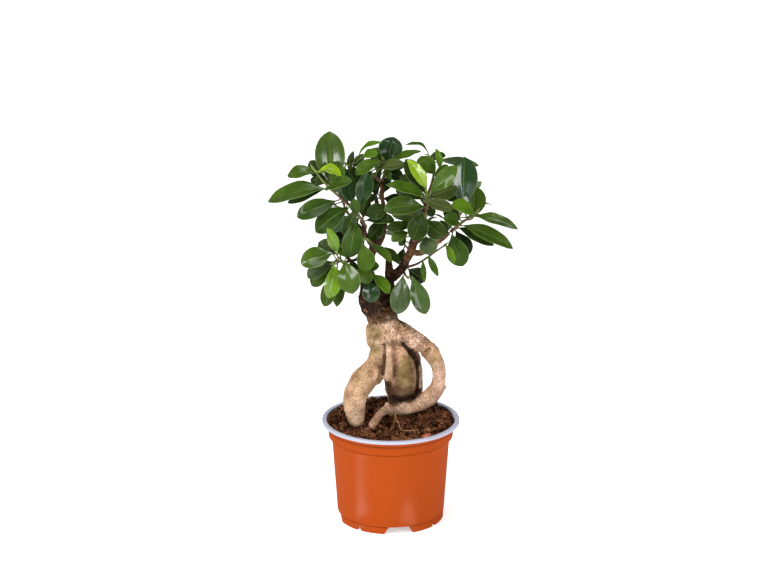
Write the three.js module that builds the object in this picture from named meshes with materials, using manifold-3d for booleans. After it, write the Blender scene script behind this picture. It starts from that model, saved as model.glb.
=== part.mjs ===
// A ficus ginseng bonsai in its round nursery pot: pot, soil, woody plant and leafy stems.
// Millimetres, +Z up, +X to the viewer's right, the viewer stands at -Y.
// The origin lies on the ground under the middle of the pot.

import * as THREE from "three";
import { mergeVertices } from "three/addons/utils/BufferGeometryUtils.js";
import Module from "manifold-3d";

const wasm = await Module();
wasm.setup();

// Driving dimensions of the pot
const RIM_RADIUS = 60;
const RIM_TOP = 90.3;
const RIM_EDGE = 2.3;
const LIP_WIDTH = 4;
const BAND_RADIUS = 57.2;
const BAND_BOTTOM = 83.1;
const COLLAR_RADIUS = 54.4;
const COLLAR_BOTTOM = 74.3;
const BODY_TOP_RADIUS = 51.9;
const BODY_BOTTOM_RADIUS = 46.7;
const WALL = 1.3;
const FOOT_HEIGHT = 6.4;
const FOOT_RADIUS = 46.5;
const FOOT_WALL = 2.6;
const FLOOR = 1.8;
const POT_SIDES = 32;
const FEET = 4;
const FOOT_GAP_ANGLE = 8.7;
const FOOT_GAP_TOP = 17.4;
const FOOT_GAP_BOTTOM = 25;
const FOOT_NICK_WIDTH = 3.6;
const FOOT_NICK_HEIGHT = 2.2;
const DRAIN_RADIUS = 4.5;
const DRAIN_PLACE = 33;

// Driving dimensions of the soil
const SOIL_LEVEL = 87;
const SOIL_RISE = 4;
const SOIL_LUMPS = 1.1;
const SOIL_SIDES = 24;
const SOIL_RINGS = 5;
const GAP = 0.35;

// Driving dimensions of the leaves and their stalks
const BLADE_THICKNESS = 0.7;
const MIDRIB_THICKNESS = 1;
const STALK_RADIUS = 0.65;
const STALK_LENGTH = 8;
const SUNK = 0.9;
const FOLD = 0.22;
const NARROW_LEAF = 9.5;

// The eye that the plant's outline was read by, and the way from the plant to that eye
const EYE = new THREE.Vector3(-4.15, -1761.7, 736.5);
const TO_EYE = new THREE.Vector3(0, -0.957, 0.288).normalize();

// A place on the plant: how far across and up it is seen in the upright plane through the
// pot's middle, and how far behind that plane it really lies on the same line of sight
function seen(across, up, behind) {
  const reach = (behind - EYE.y) / -EYE.y;
  const x = EYE.x + (across - EYE.x) * reach;
  const z = EYE.z + (up - EYE.z) * reach;
  return new THREE.Vector3(x, behind, z);
}

// Closed solids out of three.js geometry, and back
function solid(geometry) {
  geometry.deleteAttribute("normal");
  geometry.deleteAttribute("uv");
  const merged = mergeVertices(geometry, 1e-4);
  return new wasm.Manifold(new wasm.Mesh({
    numProp: 3,
    vertProperties: new Float32Array(merged.attributes.position.array),
    triVerts: new Uint32Array(merged.index.array),
  }));
}

function largest(body) {
  const bodies = body.decompose();
  bodies.sort((one, other) => other.volume() - one.volume());
  return bodies[0];
}

function joined(solids) {
  return solids.reduce((whole, next) => whole.add(next));
}

function mesh(name, body, material) {
  const { vertProperties, triVerts } = body.getMesh();
  const geometry = new THREE.BufferGeometry();
  geometry.setAttribute("position", new THREE.BufferAttribute(vertProperties, 3));
  geometry.setIndex(new THREE.BufferAttribute(triVerts, 1));
  geometry.computeVertexNormals();
  const part = new THREE.Mesh(geometry, material);
  part.name = name;
  return part;
}

// Materials
const terracottaPlastic = new THREE.MeshStandardMaterial({ color: 0xc8551e, roughness: 0.45, metalness: 0 });
const darkSoil = new THREE.MeshStandardMaterial({ color: 0x3a2216, roughness: 1, metalness: 0 });
const paleBark = new THREE.MeshStandardMaterial({ color: 0xb08a66, roughness: 0.85, metalness: 0 });
const leafGreen = new THREE.MeshStandardMaterial({ color: 0x2f5a1e, roughness: 0.35, metalness: 0 });

// A round body turned about the upright axis from a closed outline of [radius, height] points
function turned(outline, sides) {
  const points = outline.map(([radius, height]) => new THREE.Vector2(radius, height));
  points.push(points[0].clone());
  const geometry = new THREE.LatheGeometry(points, sides);
  geometry.rotateX(Math.PI / 2);
  return solid(geometry);
}

// A bar with the given outline in its end face, laid from the axis outwards at an angle
function radialBar(outline, angle, from, to) {
  const shape = new THREE.Shape(outline.map(([across, up]) => new THREE.Vector2(across, up)));
  const geometry = new THREE.ExtrudeGeometry(shape, { depth: to - from, bevelEnabled: false });
  geometry.translate(0, 0, from);
  geometry.rotateX(Math.PI / 2);
  geometry.rotateZ(THREE.MathUtils.degToRad(angle));
  return solid(geometry);
}

// Pot: tapered body, two stepped bands under an overhanging rim, four feet and drain holes
function potWall() {
  const lipInner = RIM_RADIUS - LIP_WIDTH;
  const floorTop = FOOT_HEIGHT + FLOOR;
  return turned([
    [FOOT_RADIUS - FOOT_WALL, 0],
    [FOOT_RADIUS, 0],
    [FOOT_RADIUS, FOOT_HEIGHT - 0.5],
    [BODY_BOTTOM_RADIUS, FOOT_HEIGHT],
    [BODY_TOP_RADIUS, COLLAR_BOTTOM - 0.5],
    [COLLAR_RADIUS - 0.6, COLLAR_BOTTOM],
    [COLLAR_RADIUS, BAND_BOTTOM - 0.4],
    [BAND_RADIUS - 0.4, BAND_BOTTOM],
    [BAND_RADIUS, RIM_TOP - RIM_EDGE],
    [RIM_RADIUS, RIM_TOP - RIM_EDGE],
    [RIM_RADIUS, RIM_TOP],
    [lipInner, RIM_TOP],
    [lipInner - 0.5, BAND_BOTTOM + 1],
    [COLLAR_RADIUS - WALL, BAND_BOTTOM + 0.6],
    [COLLAR_RADIUS - 0.6 - WALL, COLLAR_BOTTOM + 1],
    [BODY_TOP_RADIUS - WALL, COLLAR_BOTTOM + 0.5],
    [BODY_BOTTOM_RADIUS - WALL, floorTop],
    [0, floorTop],
    [0, FOOT_HEIGHT],
    [FOOT_RADIUS - FOOT_WALL, FOOT_HEIGHT],
  ], POT_SIDES);
}

function footGap(angle) {
  const top = FOOT_GAP_TOP / 2;
  const bottom = FOOT_GAP_BOTTOM / 2;
  const outline = [[-bottom, -1], [bottom, -1], [top, FOOT_HEIGHT], [-top, FOOT_HEIGHT]];
  return radialBar(outline, angle, FOOT_RADIUS - 3 * FOOT_WALL, FOOT_RADIUS + 5);
}

function footNick(angle) {
  const half = FOOT_NICK_WIDTH / 2;
  const outline = [[-half, -1], [half, -1], [0, FOOT_NICK_HEIGHT]];
  return radialBar(outline, angle, FOOT_RADIUS - 2 * FOOT_WALL, FOOT_RADIUS + 5);
}

function drainHole(radius, angle) {
  const hole = new THREE.CylinderGeometry(DRAIN_RADIUS, DRAIN_RADIUS, 3 * FLOOR, 10);
  hole.rotateX(Math.PI / 2);
  hole.translate(0, -radius, FOOT_HEIGHT + FLOOR / 2);
  hole.rotateZ(THREE.MathUtils.degToRad(angle));
  return solid(hole);
}

function pot() {
  let body = potWall().subtract(drainHole(0, 0));
  for (let foot = 0; foot < FEET; foot += 1) {
    const gapAngle = FOOT_GAP_ANGLE + (foot * 360) / FEET;
    body = body.subtract(footGap(gapAngle));
    body = body.subtract(footNick(gapAngle + 180 / FEET));
    body = body.subtract(drainHole(DRAIN_PLACE, gapAngle));
  }
  return body;
}

// A limb: a closed tube along a smooth line. Each point of the line gives its place, half its
// width as the viewer sees it and half its depth along the line of sight
function limb(points, sides, steps, swell = 0) {
  const line = new THREE.CatmullRomCurve3(points.map((point) => point.place));
  const sizes = new THREE.CatmullRomCurve3(points.map(
    (point) => new THREE.Vector3(point.width + swell, point.depth + swell, 0),
  ));
  const reach = line.getPoint(1).sub(line.getPoint(0)).normalize();
  const sightwise = Math.abs(reach.dot(TO_EYE)) > 0.85;
  const facing = sightwise ? new THREE.Vector3(0, 0.3, 1).normalize() : TO_EYE;
  const geometry = new THREE.CylinderGeometry(1, 1, 1, sides, steps);
  const position = geometry.attributes.position;
  for (let index = 0; index < position.count; index += 1) {
    const along = THREE.MathUtils.clamp(0.5 - position.getY(index), 0, 1);
    const centre = line.getPoint(along);
    const way = line.getTangent(along);
    const side = new THREE.Vector3().crossVectors(way, facing).normalize();
    const inward = new THREE.Vector3().crossVectors(way, side);
    const size = sizes.getPoint(along);
    centre.addScaledVector(side, position.getX(index) * size.x);
    centre.addScaledVector(inward, position.getZ(index) * size.y);
    if (along === 1 || along === 0) {
      centre.addScaledVector(way, along === 1 ? swell : -swell);
    }
    position.setXYZ(index, centre.x, centre.y, centre.z);
  }
  return solid(geometry);
}

function wood(across, up, behind, width, depth = width) {
  return { place: seen(across, up, behind), width, depth };
}

// Roots that go down into the soil. A swell makes the same shape larger, for its hole
function leftLeg(swell) {
  return limb([
    wood(-8, 162, 0, 9, 9),
    wood(-11.3, 150, 0, 8, 9),
    wood(-16.4, 137, -1, 10, 10),
    wood(-24.7, 124, -3, 11.2, 10),
    wood(-30.3, 112, -5, 10.6, 9.8),
    wood(-31.4, 100, -7, 9.9, 9.4),
    wood(-31, 90, -8, 8.4, 8.5),
    wood(-29.5, 80, -8, 7.2, 7.5),
    wood(-28, 70, -8, 5.5, 6),
  ], 10, 10, swell);
}

function loopRoot(swell) {
  return limb([
    wood(-3, 173, 0, 9, 9),
    wood(7, 170, -1, 9, 8.5),
    wood(18, 163.4, -2, 8, 7.5),
    wood(28, 157, -2, 7.2, 7),
    wood(36, 148, 0, 7.2, 6.4),
    wood(41, 138, 4, 5.9, 5.6),
    wood(42, 128, 7, 5.7, 5.6),
    wood(40.6, 118.5, 10, 6.8, 5.6),
    wood(34.8, 110.4, 12, 7.2, 5.8),
    wood(25.5, 103.5, 14, 6.8, 5.8),
    wood(13, 98.8, 14, 5.7, 5.4),
    wood(1, 98.2, 9, 5.5, 5),
    wood(-7.5, 96, 1, 4.6, 4.6),
    wood(-13, 89.5, -8, 4, 4.2),
    wood(-17.5, 82, -14, 3.9, 4),
    wood(-20, 72, -17, 3, 3),
  ], 8, 20, swell);
}

function bulb(swell) {
  return limb([
    wood(2, 168, 0, 9, 9),
    wood(4.5, 156, 3, 11.5, 11),
    wood(7, 143, 8, 14, 12.5),
    wood(8.5, 130, 12, 14.6, 12.5),
    wood(8.2, 118, 17, 13.4, 11.5),
    wood(7.6, 108, 21, 10.2, 9.5),
    wood(7, 98, 25, 8, 8),
    wood(6, 87, 27, 7, 7),
    wood(6, 78, 28, 5.5, 5.5),
  ], 10, 9, swell);
}

function backRoot(swell) {
  return limb([
    wood(12, 160, 6, 6, 6),
    wood(19, 149, 12, 5, 5.5),
    wood(21.6, 137, 17, 4.4, 5.2),
    wood(22.2, 125, 21, 4.6, 5.2),
    wood(21.5, 113, 24, 5.6, 5.4),
    wood(19.5, 102, 27, 6, 5.8),
    wood(18, 92, 29, 6.2, 6),
    wood(17.5, 81, 30, 5, 5),
  ], 7, 8, swell);
}

// Wood that stays above the soil
function neck() {
  return limb([
    wood(-5, 152, 1, 10.5, 10.5),
    wood(-5.6, 160, 1, 15, 12.5),
    wood(-5.9, 170, 0, 16.2, 13),
    wood(-6.5, 179, 0, 13.2, 12.5),
    wood(-9.5, 187, 0, 12.2, 12.5),
    wood(-13.5, 196, 0, 15.2, 13.5),
    wood(-14.5, 205, 0, 14.5, 12.5),
    wood(-16.5, 213.5, 0, 10.4, 9.5),
  ], 10, 9);
}

function hangingRoot() {
  return limb([
    wood(-2.6, 167, -8, 3.8, 4),
    wood(-2.6, 155, -8, 3.5, 4),
    wood(-3.4, 142, -6.5, 4.6, 4.2),
    wood(-3.6, 131, -4.5, 4.6, 4.4),
    wood(-2.6, 122.5, -3, 2.4, 3.6),
  ], 6, 5);
}

// Branch points that start or end more than one limb
const LEFT_FORK = [-22.4, 262, -4];
const THICK_FORK = [-10, 252, 3];
const RIGHT_FORK = [17, 241, -3];
const RIGHT_ELBOW = [38, 248.4, -9];

function branches() {
  return [
    limb([
      wood(-19, 204, -2, 5.5),
      wood(-22.5, 216, -4, 3.8),
      wood(-25.8, 230, -6, 2.9),
      wood(-25.6, 242, -6, 2.4),
      wood(-24, 253, -5, 2.1),
      wood(...LEFT_FORK, 1.9),
      wood(-25.5, 269, -4, 1.6),
    ], 6, 9),
    limb([
      wood(-26, 236, -6, 1.9),
      wood(-31, 233.5, -12, 1.4),
      wood(-38.4, 232, -17.4, 1.2),
    ], 4, 3),
    limb([
      wood(-14, 203, 3, 7),
      wood(-18.4, 224, 5, 3.8),
      wood(-17.2, 238, 5, 3.7),
      wood(...THICK_FORK, 4.1),
      wood(-6, 264, 3, 2.9),
      wood(-5.8, 276, 3, 2),
      wood(-7.4, 290, 3, 1.6),
      wood(-7.9, 301, 3, 1.4),
    ], 6, 11),
    limb([
      wood(-3, 196, 1, 5.5),
      wood(-1.4, 210, 0, 4.2),
      wood(-1.4, 222, 0, 3.6),
      wood(-1.8, 236, 0, 2.6),
    ], 6, 4),
    limb([
      wood(-2, 215, 0, 3.2),
      wood(4, 220.5, -1, 4),
      wood(9.5, 226, -2, 4),
      wood(13, 233.5, -3, 3.5),
      wood(...RIGHT_FORK, 3.4),
      wood(18.2, 249.5, -4, 2.6),
      wood(21.2, 257, -8, 2.1),
      wood(25.4, 265, -12, 1.7),
      wood(28.6, 273, -15, 1.5),
    ], 6, 12),
    limb([
      wood(22.5, 260, -9.5, 1.7),
      wood(26, 270, -8, 1.6),
      wood(29, 281, -7.5, 1.5),
      wood(30.8, 289.3, -8, 1.3),
    ], 5, 4),
    limb([
      wood(...RIGHT_FORK, 2.6),
      wood(24.5, 239.8, -6, 2.6),
      wood(31, 243.2, -8, 2.3),
      wood(...RIGHT_ELBOW, 2.4),
      wood(45, 253.4, -10, 2),
      wood(49.5, 257.7, -11, 1.6),
    ], 6, 6),
  ];
}

// Branches that carry the stems behind, as far round as the viewer can't see
function backBranches() {
  return [
    limb([wood(-13, 244, 6, 3.5), wood(-24, 259, 17, 2.2), wood(-35.8, 273.7, 27, 1.5)], 5, 3),
    limb([wood(-6, 264, 4, 2.8), wood(-11, 280, 17, 2), wood(-14, 294.7, 29, 1.4)], 5, 3),
    limb([wood(...RIGHT_FORK, 3), wood(24, 256, 10, 2.1), wood(29.9, 270.7, 22.5, 1.4)], 5, 3),
    limb([wood(...RIGHT_ELBOW, 1.9), wood(46, 258, 8, 1.6), wood(53.8, 268, 21, 1.3)], 5, 3),
    limb([wood(-18, 214, 4, 4), wood(-28, 226, 15, 2.2), wood(-37.8, 236.2, 26, 1.4)], 5, 3),
    limb([wood(8, 225, 0, 3), wood(14, 236, 14, 2), wood(19.8, 246.2, 27.5, 1.3)], 5, 3),
  ];
}

function plant() {
  const roots = [leftLeg(0), loopRoot(0), bulb(0), backRoot(0)];
  return joined([neck(), ...roots, hangingRoot(), ...branches(), ...backBranches()]);
}

// Soil: fills the pot nearly to its lip, a little higher behind, with lumps and plain holes
function soilTop(x, y) {
  const lumps = Math.sin(x * 0.21 + 1) * Math.cos(y * 0.17) + 0.6 * Math.sin(x * 0.11 - y * 0.25);
  return SOIL_LEVEL + (SOIL_RISE * y) / RIM_RADIUS + SOIL_LUMPS * lumps;
}

function soil() {
  const floorTop = FOOT_HEIGHT + FLOOR + GAP;
  const collarRadius = COLLAR_RADIUS - 0.6 - WALL - 2 * GAP;
  const topRadius = RIM_RADIUS - LIP_WIDTH - 0.5 - 1.5 * GAP;
  const bodyRadius = BODY_TOP_RADIUS - WALL - 2 * GAP;
  const outline = [
    new THREE.Vector2(0, floorTop),
    new THREE.Vector2(BODY_BOTTOM_RADIUS - WALL - 2 * GAP, floorTop),
    new THREE.Vector2(bodyRadius, COLLAR_BOTTOM + 1),
    new THREE.Vector2(collarRadius, COLLAR_BOTTOM + 2.5),
    new THREE.Vector2(collarRadius, BAND_BOTTOM + 1),
  ];
  for (let ring = SOIL_RINGS; ring >= 0; ring -= 1) {
    outline.push(new THREE.Vector2((topRadius * ring) / SOIL_RINGS, SOIL_LEVEL));
  }
  const geometry = new THREE.LatheGeometry(outline, SOIL_SIDES);
  geometry.rotateX(Math.PI / 2);
  const position = geometry.attributes.position;
  for (let index = 0; index < position.count; index += 1) {
    if (position.getZ(index) > SOIL_LEVEL - 0.1) {
      position.setZ(index, soilTop(position.getX(index), position.getY(index)));
    }
  }
  const filling = solid(geometry);
  const holes = [leftLeg(GAP), loopRoot(GAP), bulb(GAP), backRoot(GAP)];
  return largest(filling.subtract(joined(holes)));
}

// One leaf with its stalk, as one thin body: a point inside the stem, a ring at the stem, a
// ring where the blade starts, two rings along the blade and the tip
const LEAF_RINGS = [
  { along: 0, half: 0 },
  { along: 0, half: 0.12 },
  { along: 0.36, half: 0.84 },
  { along: 0.82, half: 0.86 },
  { along: 1, half: 0 },
];
const SLENDER = 2.3;
const SLENDER_RINGS = LEAF_RINGS.with(2, { along: 0.36, half: 0.92 }).with(3, { along: 0.8, half: 0.72 });

// Corners of a leaf's cross-section, going round: how far across and which face
const FOLDED_SECTION = [[1, 1], [0, 1], [-1, 1], [-1, -1], [0, -1], [1, -1]];
const FLAT_SECTION = [[1, 1], [-1, 1], [-1, -1], [1, -1]];

function leaf({ root, base, tip, facing, width, arch, folded }) {
  const section = folded ? FOLDED_SECTION : FLAT_SECTION;
  const way = tip.clone().sub(base).normalize();
  const side = new THREE.Vector3().crossVectors(way, facing).normalize();
  const upper = new THREE.Vector3().crossVectors(side, way).normalize();
  const stalkWay = base.clone().sub(root).normalize();
  const stalkSide = new THREE.Vector3().crossVectors(stalkWay, upper).normalize();
  const stalkUpper = new THREE.Vector3().crossVectors(stalkSide, stalkWay).normalize();
  const geometry = new THREE.SphereGeometry(1, section.length, LEAF_RINGS.length);
  const position = geometry.attributes.position;
  for (let index = 0; index < position.count; index += 1) {
    const column = index % (section.length + 1);
    const row = Math.floor(index / (section.length + 1));
    const [across, face] = section[column % section.length];
    const place = new THREE.Vector3();
    if (row === 0) {
      place.copy(root).addScaledVector(stalkWay, -SUNK);
    } else if (row === 1) {
      place.copy(root);
      place.addScaledVector(stalkSide, across * STALK_RADIUS);
      place.addScaledVector(stalkUpper, face * STALK_RADIUS);
    } else {
      const slender = base.distanceTo(tip) > SLENDER * width;
      const { along, half } = (slender ? SLENDER_RINGS : LEAF_RINGS)[row - 1];
      const reach = (half * width) / 2;
      const rise = 4 * arch * along * (1 - along) + Math.abs(across) * reach * FOLD;
      const rim = Math.abs(across) === 1 ? BLADE_THICKNESS : MIDRIB_THICKNESS;
      place.lerpVectors(base, tip, along);
      place.addScaledVector(side, across * reach);
      place.addScaledVector(upper, rise + (face * (row === LEAF_RINGS.length ? 0 : rim)) / 2);
    }
    position.setXYZ(index, place.x, place.y, place.z);
  }
  return solid(geometry);
}

// The nearest place on a stem's line to a given place
function nearestOn(line, place) {
  const places = line.getSpacedPoints(24);
  places.sort((one, other) => one.distanceTo(place) - other.distanceTo(place));
  return places[0];
}

// A leaf read from the front: it leans from the viewer to the sky by a number of degrees
function readLeaf([across, up, behind], [tipAcross, tipUp, tipBehind], width, lean, arch = 1.5) {
  const base = seen(across, up, behind);
  const tip = seen(tipAcross, tipUp, tipBehind);
  const way = tip.clone().sub(base).normalize();
  const sky = new THREE.Vector3().crossVectors(way, TO_EYE).normalize();
  if (sky.z + 0.2 * sky.x < 0) {
    sky.negate();
  }
  const front = TO_EYE.clone().addScaledVector(way, -TO_EYE.dot(way)).normalize();
  const turn = THREE.MathUtils.degToRad(lean);
  const facing = front.multiplyScalar(Math.cos(turn)).addScaledVector(sky, Math.sin(turn));
  return { base, tip, facing, width, arch, folded: width > NARROW_LEAF };
}

// A leafy stem: its line from where it leaves the wood to its bud, and its leaves
function leafyStem({ line, radius, leaves }) {
  const curve = new THREE.CatmullRomCurve3(line.map(([across, up, behind]) => seen(across, up, behind)));
  const points = line.map(([across, up, behind], index) => {
    const taper = 1 - (0.45 * index) / (line.length - 1);
    return wood(across, up, behind, radius * taper);
  });
  const stem = limb(points, 4, line.length);
  const blades = leaves.map((entry) => {
    const way = entry.tip.clone().sub(entry.base).normalize();
    const root = nearestOn(curve, entry.base.clone().addScaledVector(way, -STALK_LENGTH));
    return leaf({ root, ...entry });
  });
  return joined([stem, ...blades]);
}

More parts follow.
